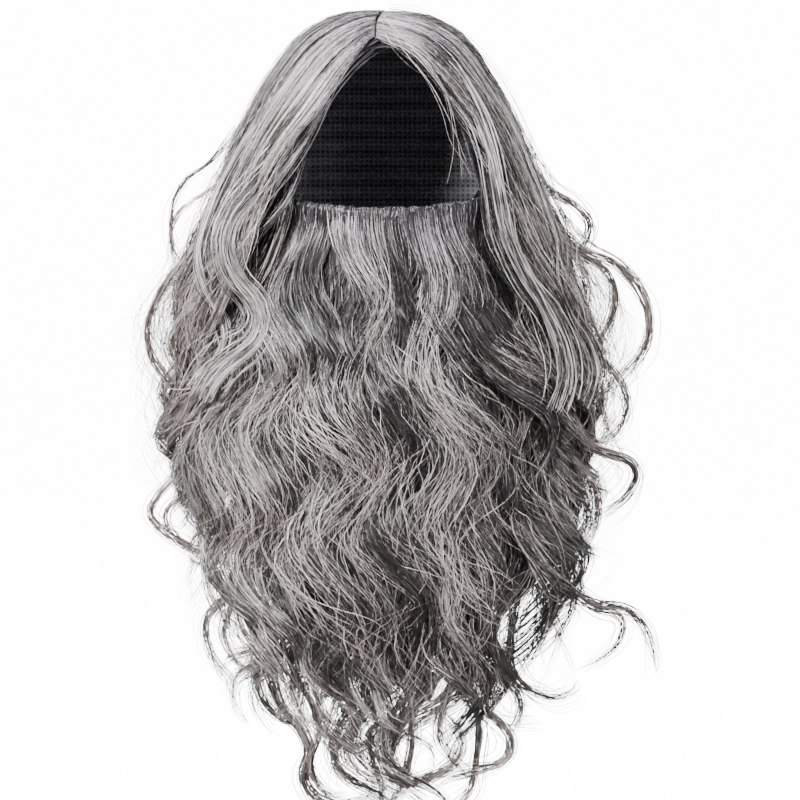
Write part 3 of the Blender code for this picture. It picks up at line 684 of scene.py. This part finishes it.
def beard_gathers():
    """The beard's top edge: fine pleats, a dark binding behind them that also serves as a painted shadow
    line, and hair folded over them.
    """
    rng = np.random.default_rng(61)
    turn = np.linspace(-0.998, 0.998, GATHER_COLUMNS)[:, None]
    steps = 1 + 0.75 * np.sin(np.cumsum(rng.uniform(0, 0.22, GATHER_COLUMNS)))
    phase = np.cumsum(steps)[:, None] * math.pi * GATHER_PLEATS / GATHER_COLUMNS
    fold = np.abs(np.sin(phase)) ** 0.8
    size = 0.60 + 0.40 * np.sin(phase * 0.37 + 1.0) * np.sin(phase * 0.083)
    down, out = (np.array(values)[None] for values in zip(*GATHER_PROFILE))
    thick = gather_thickness(turn)
    relief = GATHER_RELIEF * (fold * size - 0.25) * smooth(out / 0.5)
    row = down * GATHER_HEIGHT - edge_sway(turn) * (down < 0.6) - 0.0007 * fold * size * (down < 0.2)
    rings = on_beard(turn, row / BEARD_LENGTH, out * thick + relief)
    shape = rings.shape[:2]
    # Painted light and shade on the pleats: lighter on their crests and darker in their creases; the tone
    # is also darker near the top edge
    tone = 0.01 + 0.33 * fold * size + rng.normal(0, 0.06, (GATHER_COLUMNS, 1)) - 0.20 * (down < 0.3)
    values = {
        "tone": np.clip(tone, 0, 1),
        "warm": np.zeros(shape),
        "seed": np.full(shape, 0.3),
        "along": np.zeros(shape),
        "edge": np.broadcast_to(np.arange(GATHER_COLUMNS)[:, None] * 0.3, shape),
    }
    sweep("beard_gathers", rings, values, GATHERED, "beard_hair", "beard_band")

    # The binding: a dark rolled edge that shows above the pleats, partly the backing's own edge and partly
    # a painted shadow line along the top edge
    around = np.linspace(0, 2 * math.pi, 9)[:-1][None]
    turn = turn[::4]
    middle = -(GATHER_OVERHANG + 0.0005 + edge_sway(turn))
    row = (middle + 0.0008 * np.cos(around)) / BEARD_LENGTH
    rings = on_beard(turn, row, 0.0009 + 0.0009 * np.sin(around))
    sweep("beard_binding_painted_shadow_line", rings, {}, TAPE, "beard_backing", "beard_band")

    # Hairs folded over the top edge and running down over the pleats
    count = FOLDED_HAIRS
    t = np.linspace(0, 1, 14)
    place = rng.uniform(-0.985, 0.985, count)[:, None]
    reach = rng.uniform(0.006, 0.034, count)[:, None]
    knots = (0.0, 0.12, 0.28, 0.42, 0.60, 0.80, 1.0)
    fall = np.interp(t, knots, (-0.0006, -0.0024, -0.0030, -0.0006, 0.0, 0.0, 0.0))
    fall = fall - edge_sway(place) * (1 - t) + smooth((t - 0.35) / 0.65) * reach
    out = np.interp(t, knots, (0.0, 0.3, 0.8, 1.15, 1.32, 1.38, 1.30)) * gather_thickness(place)
    out = out + rng.uniform(-0.0002, 0.0010, count)[:, None] * smooth(t / 0.4)
    slant = rng.normal(0, 0.022, count)[:, None] * t
    slant = slant + 0.004 * np.sin(9 * t + rng.uniform(0, 6, count)[:, None]) * t
    points = on_beard(place + slant, fall / BEARD_LENGTH, out)
    light = rng.uniform(0, 1, count) < 0.16 + 0.12 * np.sin(place[:, 0] * 19) * np.sin(place[:, 0] * 7)
    tone = np.clip(np.where(light, rng.normal(0.74, 0.08, count), rng.normal(0.20, 0.12, count)), 0, 1)
    hair = {
        "points": points,
        "outward": np.broadcast_to(unit(points * (1, 1, 0)), points.shape),
        "share": np.broadcast_to(0.1 * t, points.shape[:2]),
        "tone": tone[:, None] * (0.30 + 0.70 * smooth((t - 0.30) / 0.35)),
        "warm": np.zeros(count),
        "twist": rng.uniform(-0.6, 0.6, count),
        "seed": rng.uniform(0, 1, count),
        "girth": np.ones(count),
        "cells": GRAIN_CELLS,
    }
    ribbons("beard_folded_hairs", hair, FOLDED_WIDTH, STRANDS, "beard_hair", "beard_band")


class Looks:
    """A new material, with short ways to add and join its nodes."""

    def __init__(self, name, settings):
        self.made = bpy.data.materials.new(name)
        self.made.use_nodes = True
        self.nodes = self.made.node_tree.nodes
        self.link = self.made.node_tree.links.new
        self.inputs = self.nodes["Principled BSDF"].inputs
        for key, value in settings.items():
            self.put(value, self.inputs[key])

    def add(self, kind, **sockets):
        made = self.nodes.new("ShaderNode" + kind)
        for key, value in sockets.items():
            made.inputs[key].default_value = value
        return made

    def put(self, value, socket):
        """Sets a socket to a number or a colour, or links another socket to it."""
        if isinstance(value, (int, float)):
            socket.default_value = value
        elif isinstance(value, tuple):
            socket.default_value = (*value, 1)
        else:
            self.link(value, socket)

    def attribute(self, name, output="Fac"):
        made = self.add("Attribute")
        made.attribute_name = name
        return made.outputs[output]

    def texture(self, kind, direction=None, at=None, **sockets):
        """A noise or a wave, laid out in the object's own coordinates or in others."""
        made = self.add("Tex" + kind, **sockets)
        if direction:
            made.bands_direction = direction
        self.link(at or self.add("TexCoord").outputs["Object"], made.inputs["Vector"])
        return made.outputs["Fac"]

    def maths(self, operation, first, second):
        made = self.add("Math")
        made.operation = operation
        self.put(first, made.inputs[0])
        self.put(second, made.inputs[1])
        return made.outputs[0]

    def times(self, first, second):
        return self.maths("MULTIPLY", first, second)

    def total(self, first, *others):
        for other in others:
            first = self.maths("ADD", first, other)
        return first

    def about_zero(self, noise, size):
        return self.times(self.maths("SUBTRACT", noise, 0.5), size)

    def ramp(self, factor, stops):
        made = self.add("ValToRGB")
        elements = made.color_ramp.elements
        for element, (place, colour) in zip(elements, (stops[0], stops[-1])):
            element.position = place
            element.color = (*colour, 1)
        for place, colour in stops[1:-1]:
            elements.new(place).color = (*colour, 1)
        self.link(factor, made.inputs["Fac"])
        return made.outputs["Color"]

    def tinted(self, factor, first, second):
        made = self.add("Mix")
        made.data_type = "RGBA"
        made.blend_type = "MULTIPLY"
        for number, value in ((0, factor), (6, first), (7, second)):
            self.put(value, made.inputs[number])
        return made.outputs[2]

    def bump(self, height, strength, distance):
        made = self.add("Bump", Strength=strength, Distance=distance)
        self.link(height, made.inputs["Height"])
        self.link(made.outputs["Normal"], self.inputs["Normal"])


GREYS = (
    (0.00, (0.010, 0.009, 0.010)),
    (0.22, (0.030, 0.027, 0.027)),
    (0.42, (0.092, 0.081, 0.080)),
    (0.62, (0.244, 0.224, 0.224)),
    (0.82, (0.570, 0.545, 0.553)),
    (1.00, (0.900, 0.880, 0.898)),
)
ROOT_TO_TIP = ((0.0, (0.92, 0.91, 1.0)), (0.3, (1.0, 0.965, 0.985)), (1.0, (1.0, 0.93, 0.89)))
BROWN = (1.0, 0.93, 0.88)


def hair_material(name, stripes, grain, lift, gloss, shine=0.0):
    """Synthetic hair: each strand has its own grey, cooler at the roots and warmer at the tips."""
    looks = Looks(name, {"Specular IOR Level": 1.0 if shine else 0.5, "Sheen Weight": 0.10})
    cloud = looks.texture("Noise", Scale=26.0, Detail=2.0)
    fine = looks.texture("Noise", Scale=210.0, Detail=1.0)
    lines = looks.add("CombineXYZ")
    looks.link(looks.times(looks.attribute("edge"), stripes), lines.inputs[0])
    looks.link(looks.times(looks.attribute("seed"), 90.0), lines.inputs[1])
    looks.link(looks.attribute("grain"), lines.inputs[2])
    streak = looks.texture("Noise", at=lines.outputs[0], Scale=1.0, Detail=1.0)
    value = looks.total(
        looks.attribute("tone"),
        looks.about_zero(cloud, 0.45),
        looks.about_zero(fine, 0.22),
        looks.about_zero(streak, grain),
        lift,
    )
    colour = looks.tinted(1.0, looks.ramp(value, GREYS), looks.ramp(looks.attribute("along"), ROOT_TO_TIP))
    colour = looks.tinted(looks.attribute("warm"), colour, BROWN)
    looks.link(colour, looks.inputs["Base Color"])
    looks.link(looks.total(looks.times(fine, 0.22), gloss), looks.inputs["Roughness"])
    if shine:
        looks.link(looks.attribute("crosswise", "Vector"), looks.inputs["Tangent"])
        looks.inputs["Anisotropic"].default_value = shine
    looks.bump(fine, 0.25, 0.0003)
    return looks.made


def cloth_material(name, dark, light, scale, lines, rough):
    """Dark net, tape, cloth or elastic: crossing threads in colour and height."""
    looks = Looks(name, {"Specular IOR Level": 0.35, "Sheen Weight": 0.2})
    threads = [looks.texture("Wave", way, Scale=scale, Distortion=0.6, Detail=1.0) for way in ("X", "Z")]
    thread = looks.maths("MAXIMUM", *threads)
    broad = looks.texture("Wave", "Z", Scale=lines, Distortion=1.2, Detail=2.0)
    cloud = looks.texture("Noise", Scale=40.0, Detail=4.0)
    mixed = looks.times(thread, looks.total(cloud, 0.35))
    mixed = looks.total(looks.times(mixed, 0.7), looks.times(broad, 0.3))
    looks.link(looks.ramp(mixed, ((0.1, dark), (0.9, light))), looks.inputs["Base Color"])
    looks.link(looks.total(looks.times(cloud, 0.2), rough), looks.inputs["Roughness"])
    looks.bump(looks.total(thread, looks.times(broad, 1.5)), 0.6, 0.0006)
    return looks.made


STRANDS = hair_material("grey_strands", 0.0, 1.3, -0.04, 0.22, 0.85)
TRESSES = hair_material("grey_tresses", 1.9, 2.4, -0.06, 0.24, 0.85)
PAINTED_SHADE_UNDER = hair_material("painted_shade_under_hair", 0.5, 3.2, -0.10, 0.42)
GATHERED = hair_material("gathered_hair", 1.0, 1.6, -0.06, 0.38)

NET = cloth_material("cap_net_weave", (0.008, 0.008, 0.010), (0.300, 0.295, 0.320), 85.0, 26.0, 0.72)
TAPE = cloth_material("dark_tape_weave", (0.006, 0.007, 0.012), (0.050, 0.052, 0.075), 420.0, 90.0, 0.62)
BACKING = cloth_material("backing_cloth", (0.010, 0.010, 0.012), (0.070, 0.068, 0.072), 380.0, 60.0, 0.74)
ELASTIC = cloth_material("ribbed_elastic", (0.008, 0.008, 0.010), (0.075, 0.075, 0.082), 300.0, 330.0, 0.62)

CLOTHS = {
    "wig_cap": NET, "hairline_band": TAPE, "parting_strip": TAPE, "beard_base": BACKING,
    "beard_strap": ELASTIC,
}
for name, surface in CLOTHS.items():
    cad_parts[name].data.materials.clear()
    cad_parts[name].data.materials.append(surface)

# Layers of strands. Rows and depths are in the flow, radii, waves and frizz in metres.
TOP = dict(
    clumps=38, strands=30, samples=40, depth=(0.55, 1.0), depth_spread=0.12, deepest=1.05, locks=7,
    roots=(-1.0,), root_spread=0.004, root_depth=0.80, rise=0.30, reach=(0.74, 1.06), wave=(0.102, 0.160),
    tip_wave=(1.0, 1.35), bend=0.76, curl=(0.0, 0.8), drift=4.0, phase=0.4, spread=1.3, stagger=0.06,
    lag=0.09, gather=1.0, straying=0.12, radius=0.0046, inside=0.85, slim=0.0,
    frizz=(0.0005, 0.0016, 0.0050), light=0.48, fade=(0.02, 0.14), blend=0.0, brown=0.0, twist=0.9,
)
CARDS = dict(
    strands=11, samples=38, gather=0.92, straying=0.0, blend=0.42, twist=0.5,
    frizz=(0.0004, 0.0009, 0.0018),
)
INNER = dict(
    TOP, clumps=28, strands=18, samples=34, depth=(0.28, 0.70), roots=(-0.62, -0.42, -0.24, -0.08),
    root_spread=0.012, rise=0.22, root_depth=0.05, light=0.28, reach=(0.80, 1.06), phase=1.9,
)
EDGE = dict(
    TOP, clumps=7, strands=12, span=(0.0, 0.035), locks=1, depth=(0.0, 0.45), light=0.40, radius=0.003,
    root_depth=0.3, spread=0.9, reach=(0.7, 1.0),
)
LOOSE = dict(
    TOP, clumps=230, strands=1, samples=36, depth=(0.80, 1.10), deepest=1.12, spread=0.5, radius=0.0,
    frizz=(0.005, 0.010, 0.016), light=0.75, gather=0.3, reach=(0.55, 1.02), inside=0.4, locks=20,
)
WIG_LAYERS = {"strands": TOP, "tresses": dict(TOP, **CARDS), "inner": INNER, "flyaways": LOOSE}
BACK_CHANGES = {"drift": 5.0, "locks": 12}
BEARD_TOP_LAYER = dict(
    TOP, clumps=50, strands=34, locks=12, depth=(0.35, 0.98), roots=(0.006,), root_spread=0.009,
    root_depth=0.62, rise=0.10, reach=(0.72, 1.03), wave=(0.106, 0.156), bend=0.80, drift=1.7, phase=0.0,
    inside=0.0, frizz=(0.0005, 0.0018, 0.0055), light=0.17, fade=(-0.22, 0.22),
    starts=(3.0, 3.4, 3.5, 4.0, 0.1, 0.4, 0.9, 0.5, 0.3, 1.6, 0.9, 1.9),
    # Painted light and shade for each lock: darker for the recessed locks and mostly darker on the +X side,
    # away from the main light, lighter for the lit locks
    shades=(0.0, 0.10, 0.16, -0.20, 0.22, 0.02, -0.18, 0.10, -0.04, -0.18, -0.06, -0.12),
)
BEARD_LAYERS = {
    "strands": BEARD_TOP_LAYER,
    "tresses": dict(BEARD_TOP_LAYER, **CARDS),
    "inner": dict(
        BEARD_TOP_LAYER, clumps=32, strands=26, samples=36, depth=(0.25, 0.62), spread=1.9, gather=0.72,
        roots=(0.02, 0.03, 0.06, 0.11), root_spread=0.006, root_depth=0.1, reach=(0.72, 1.0), bend=0.55,
        starts=(1.0, 2.2, 4.6, 0.6, 3.4, 2.0, 5.2, 3.6, 2.4, 4.4, 0.2, 2.9), shades=(0.0,) * 12,
    ),
    "flyaways": dict(
        BEARD_TOP_LAYER, clumps=560, strands=1, samples=36, depth=(0.75, 1.08), deepest=1.10, spread=0.5,
        radius=0.0, frizz=(0.007, 0.013, 0.020), light=0.75, gather=0.3, reach=(0.45, 1.02),
    ),
}


def toned(change, edge, **others):
    """The layers of one side of the wig, with more or fewer light strands."""
    sides = {key: dict(layer, light=layer["light"] + change, **others) for key, layer in WIG_LAYERS.items()}
    return dict(sides, edge=edge)


LAYERS = {
    "left": toned(-0.08, dict(EDGE, light=0.25, slim=0.34), brown=0.25, slim=0.34),
    "right": toned(0.10, EDGE),
    "back": {
        "strands": dict(TOP, **BACK_CHANGES, clumps=46, strands=26),
        "tresses": dict(TOP, **dict(CARDS, strands=8), **BACK_CHANGES, clumps=46),
        "inner": dict(INNER, **BACK_CHANGES, clumps=26, strands=15),
        "flyaways": LOOSE,
    },
    "beard": BEARD_LAYERS,
}
SEEDS = {"left": 10, "right": 20, "back": 30, "beard": 40}
WIDTHS = {"strands": 0.00048, "tresses": 0.00125, "inner": 0.0007, "edge": 0.0005, "flyaways": 0.00034}

# The free curls seen against the background and over the beard's end. Each has a thickness in metres,
# a number of strands, a share of light ones, how far forwards it starts and ends in metres, and the
# pixels of the photograph that it runs through from its root, across and down by turns.
WIG_RIGHT_CURLS = (
    (0.013, 80, 0.72, (-0.056, -0.098, -0.118), (380, 38, 366, 46, 345, 64, 318, 98, 302, 130, 284, 160,
     258, 190, 240, 214, 232, 240, 240, 270, 258, 292, 267, 312, 260, 334, 240, 350, 220, 368, 206, 392)),
    (0.011, 60, 0.62, (-0.02, -0.07, -0.1), (383, 24, 360, 29, 325, 50, 290, 85, 262, 125, 240, 160, 222,
     195, 209, 228, 205, 255, 214, 285, 230, 310, 234, 335, 222, 362, 204, 388)),
    (0.0055, 24, 0.55, (-0.05, -0.02), (240, 190, 226, 214, 206, 236, 185, 262, 164, 290, 151, 322, 153,
     350, 168, 375, 188, 398, 200, 425)),
    (0.0045, 20, 0.55, (-0.07, -0.04), (250, 262, 236, 285, 214, 300, 195, 306, 181, 322, 175, 343, 183,
     364, 196, 385, 205, 410)),
    (0.0025, 9, 0.5, (0.0, 0.02), (240, 130, 222, 150, 206, 166, 186, 180, 173, 203, 171, 232, 174, 262,
     186, 285)),
    (0.002, 7, 0.6, (-0.03, -0.02), (232, 172, 215, 188, 196, 199, 180, 212, 173, 232, 178, 252, 192, 265,
     210, 262)),
    (0.004, 18, 0.5, (-0.03, -0.03), (228, 410, 210, 440, 192, 462, 172, 478, 156, 497, 152, 512, 164,
     528, 182, 540, 203, 552, 222, 549)),
    (0.003, 12, 0.5, (-0.01, 0.0), (236, 450, 222, 470, 206, 485, 186, 496, 168, 507, 165, 524, 180, 543,
     200, 550, 218, 540, 222, 525)),
    (0.005, 22, 0.55, (-0.04, -0.05), (236, 440, 228, 470, 222, 495, 226, 520, 240, 545, 247, 562, 240,
     582, 222, 598, 210, 612, 209, 632, 218, 655, 233, 672, 240, 690)),
    (0.0035, 14, 0.5, (-0.05, -0.06), (250, 530, 240, 560, 236, 590, 228, 612, 226, 630, 236, 650, 252,
     662, 270, 668)),
)
WIG_LEFT_CURLS = (
    (0.001, 1, 1.0, (-0.07, -0.098, -0.1), (384, 22, 405, 45, 430, 72, 447, 110, 455, 150, 462, 190)),
    (0.001, 1, 1.0, (-0.07, -0.1, -0.102), (386, 24, 412, 52, 437, 84, 449, 120, 452, 158, 447, 186)),
    (0.001, 1, 1.0, (-0.07, -0.096, -0.098), (385, 26, 400, 50, 424, 80, 444, 116, 458, 152, 470, 186)),
    (0.001, 1, 1.0, (-0.07, -0.084, -0.08), (383, 20, 381, 30, 386, 44, 398, 60, 416, 74, 436, 82)),
    (0.011, 60, 0.55, (-0.052, -0.092, -0.105), (381, 33, 400, 36, 428, 52, 456, 80, 476, 115, 488, 150,
     495, 190, 503, 230, 520, 268, 543, 305, 558, 340, 560, 375, 548, 408)),
    (0.01, 50, 0.42, (-0.01, -0.06, -0.085), (387, 22, 414, 27, 450, 47, 486, 84, 510, 128, 526, 170, 540,
     205, 552, 240, 554, 275, 566, 310, 584, 340, 590, 370, 578, 402)),
    (0.004, 16, 0.4, (-0.02, 0.0), (530, 170, 548, 190, 572, 203, 588, 222, 586, 242, 574, 256, 566,
     272)),
    (0.005, 22, 0.4, (-0.04, -0.01), (540, 215, 560, 232, 585, 250, 612, 262, 634, 285, 646, 315, 644,
     342, 630, 365, 612, 385, 600, 410)),
    (0.004, 16, 0.35, (-0.05, -0.03), (532, 228, 556, 244, 584, 257, 605, 272, 612, 296, 606, 322, 592,
     345, 580, 368, 572, 392)),
    (0.0035, 14, 0.4, (-0.03, -0.01), (545, 305, 566, 330, 590, 352, 612, 370, 625, 395, 622, 420, 606,
     438, 586, 440)),
    (0.006, 26, 0.45, (-0.06, -0.03), (540, 400, 562, 420, 580, 438, 605, 449, 626, 457, 633, 472, 624,
     492, 608, 506, 594, 514)),
    (0.0045, 20, 0.45, (-0.07, -0.05), (540, 420, 556, 440, 575, 458, 590, 476, 594, 498, 592, 520, 582,
     542)),
    (0.005, 22, 0.5, (-0.06, -0.01), (480, 515, 505, 535, 530, 553, 556, 570, 575, 590, 597, 602, 624,
     608, 642, 625, 652, 650, 659, 676)),
    (0.0035, 14, 0.5, (-0.07, -0.04), (515, 540, 540, 560, 565, 582, 590, 600, 612, 606, 621, 618, 614,
     640, 596, 655, 574, 664)),
)
BEARD_CURLS = (
    (0.0045, 20, 0.5, (-0.09, -0.08), (515, 560, 512, 590, 508, 625, 508, 652, 520, 672, 545, 684, 566,
     680, 576, 668)),
    (0.005, 22, 0.6, (-0.12, -0.11), (425, 610, 424, 640, 418, 672, 404, 695, 388, 722, 386, 745, 402,
     762, 428, 757, 452, 742, 460, 722, 446, 700, 424, 690)),
    (0.0045, 20, 0.5, (-0.11, -0.1), (440, 620, 452, 650, 468, 680, 492, 700, 507, 722, 500, 742, 474,
     752, 446, 760, 432, 772)),
    (0.0045, 20, 0.55, (-0.12, -0.12), (350, 605, 360, 640, 366, 672, 378, 700, 369, 716, 374, 742, 383,
     764, 379, 784, 368, 795)),
    (0.006, 26, 0.55, (-0.1, -0.1), (262, 625, 272, 655, 284, 690, 303, 712, 312, 735, 306, 758, 318, 779,
     344, 788, 372, 780, 386, 766)),
    (0.004, 16, 0.5, (-0.11, -0.1), (290, 630, 300, 660, 316, 690, 321, 715, 313, 742, 318, 762, 333, 776,
     352, 778)),
    (0.0045, 20, 0.5, (-0.09, -0.08), (475, 565, 480, 600, 488, 635, 486, 657, 503, 668, 518, 686, 514,
     712, 500, 722)),
    (0.004, 18, 0.45, (-0.13, -0.13), (392, 605, 398, 640, 408, 672, 411, 705, 406, 742, 394, 772, 374,
     795)),
    (0.004, 18, 0.5, (-0.1, -0.1), (458, 645, 470, 680, 476, 712, 473, 745, 468, 770, 452, 789, 438,
     797)),
    (0.0045, 18, 0.5, (-0.08, -0.08), (240, 570, 250, 600, 262, 632, 259, 660, 268, 690, 288, 706, 312,
     708, 330, 696)),
    (0.004, 16, 0.6, (-0.12, -0.115), (350, 610, 340, 640, 330, 668, 318, 690, 326, 712, 350, 726, 372,
     720, 384, 705)),
)
CURLS = {"wig_left": WIG_LEFT_CURLS, "wig_right": WIG_RIGHT_CURLS, "beard": BEARD_CURLS}

for region, layers in LAYERS.items():
    bearded = region == "beard"
    name = "beard" if bearded else f"wig_{region}"
    slot = "beard_hair" if bearded else "wig_hair"
    solid = "beard_hair" if bearded else f"wig_hair_{region}"
    seed = SEEDS[region]
    under_body(f"{name}_under", region, BEARD_UNDER if bearded else WIG_UNDER, seed, PAINTED_SHADE_UNDER, slot, solid)
    for number, (part, layer) in enumerate(layers.items()):
        tresses = part == "tresses"
        hair = grow(region, layer, seed + 1 + (0 if tresses else number))
        ribbons(f"{name}_{part}", hair, WIDTHS[part], TRESSES if tresses else STRANDS, slot, solid)
    if name in CURLS:
        hair = curls(CURLS[name], BEARD_FULLNESS if bearded else WIG_FULLNESS, seed + 9)
        ribbons(f"{name}_curls", hair, CURL_WIDTH, STRANDS, slot, solid)

beard_gathers()

# The floor's height, and the round stage's radius and corner
STAGE_FLOOR = -0.70
STAGE_RADIUS = 9.0
STAGE_CORNER = 2.0

# Camera, level with the object's middle and a little above it
AIM = Vector((0.011, 0.0, -0.282))
DISTANCE = 3.0
ELEVATION = math.radians(3.5)
FRAME_HEIGHT = 0.600

camera_data = bpy.data.cameras.new("camera")
camera_data.sensor_width = 36.0
camera_data.lens = 36.0 * DISTANCE / FRAME_HEIGHT
camera = placed("camera", camera_data)
back = Vector((0.0, -math.cos(ELEVATION), math.sin(ELEVATION)))
camera.location = AIM + back * DISTANCE
camera.rotation_euler = (-back).to_track_quat("-Z", "Y").to_euler()
bpy.context.scene.camera = camera


def backdrop():
    """A pale round floor that turns up into a pale wall and closes overhead."""
    flat = STAGE_RADIUS - STAGE_CORNER
    top = STAGE_FLOOR + STAGE_CORNER
    profile = [(0.001, STAGE_FLOOR), (flat, STAGE_FLOOR)]
    for a in np.linspace(0, math.pi / 2, 13)[1:]:
        profile.append((flat + STAGE_CORNER * math.sin(a), top - STAGE_CORNER * math.cos(a)))
    for a in np.linspace(0, math.pi / 2, 25)[1:]:
        profile.append((max(STAGE_RADIUS * math.cos(a), 0.001), top + STAGE_RADIUS * math.sin(a)))
    around = np.linspace(0, 2 * math.pi, 65)[:-1]
    rings = np.array([[(r * math.cos(t), r * math.sin(t), z) for t in around] for r, z in profile])
    at = np.arange(rings.shape[0] * rings.shape[1]).reshape(rings.shape[:2])
    after = np.roll(at, -1, axis=1)
    faces = stacked(at[:-1], after[:-1], after[1:], at[1:]).reshape(-1, 4)
    mesh = bpy.data.meshes.new("backdrop")
    mesh.from_pydata(rings.reshape(-1, 3).tolist(), [], faces.tolist())
    mesh.shade_smooth()
    made = placed("backdrop", mesh)
    glow = {"Emission Color": (1.0, 1.0, 1.0), "Emission Strength": 14.0}
    paper = Looks("pale_paper", {"Base Color": (0.93, 0.93, 0.93), "Roughness": 0.9, **glow})
    mesh.materials.append(paper.made)
    made.visible_diffuse = made.visible_glossy = made.visible_shadow = False


def area_light(name, place, size, power):
    light = bpy.data.lights.new(name, "AREA")
    light.size = size
    light.energy = power
    made = placed(name, light)
    made.location = place
    made.rotation_euler = (AIM - Vector(place)).to_track_quat("-Z", "Y").to_euler()


backdrop()
area_light("key", (-1.2, -1.9, 1.1), 0.9, 98.0)
area_light("fill", (1.7, -1.8, 0.1), 1.6, 20.0)
area_light("top", (-0.3, -0.5, 1.5), 1.0, 40.0)
area_light("left_rim", (-1.4, 1.1, 0.5), 1.0, 26.0)
area_light("right_rim", (1.4, 1.1, 0.5), 1.0, 26.0)

world = bpy.data.worlds.new("studio")
bpy.context.scene.world = world
world.use_nodes = True
background = world.node_tree.nodes["Background"].inputs
background["Color"].default_value = (1.0, 1.0, 1.0, 1)
background["Strength"].default_value = 0.27
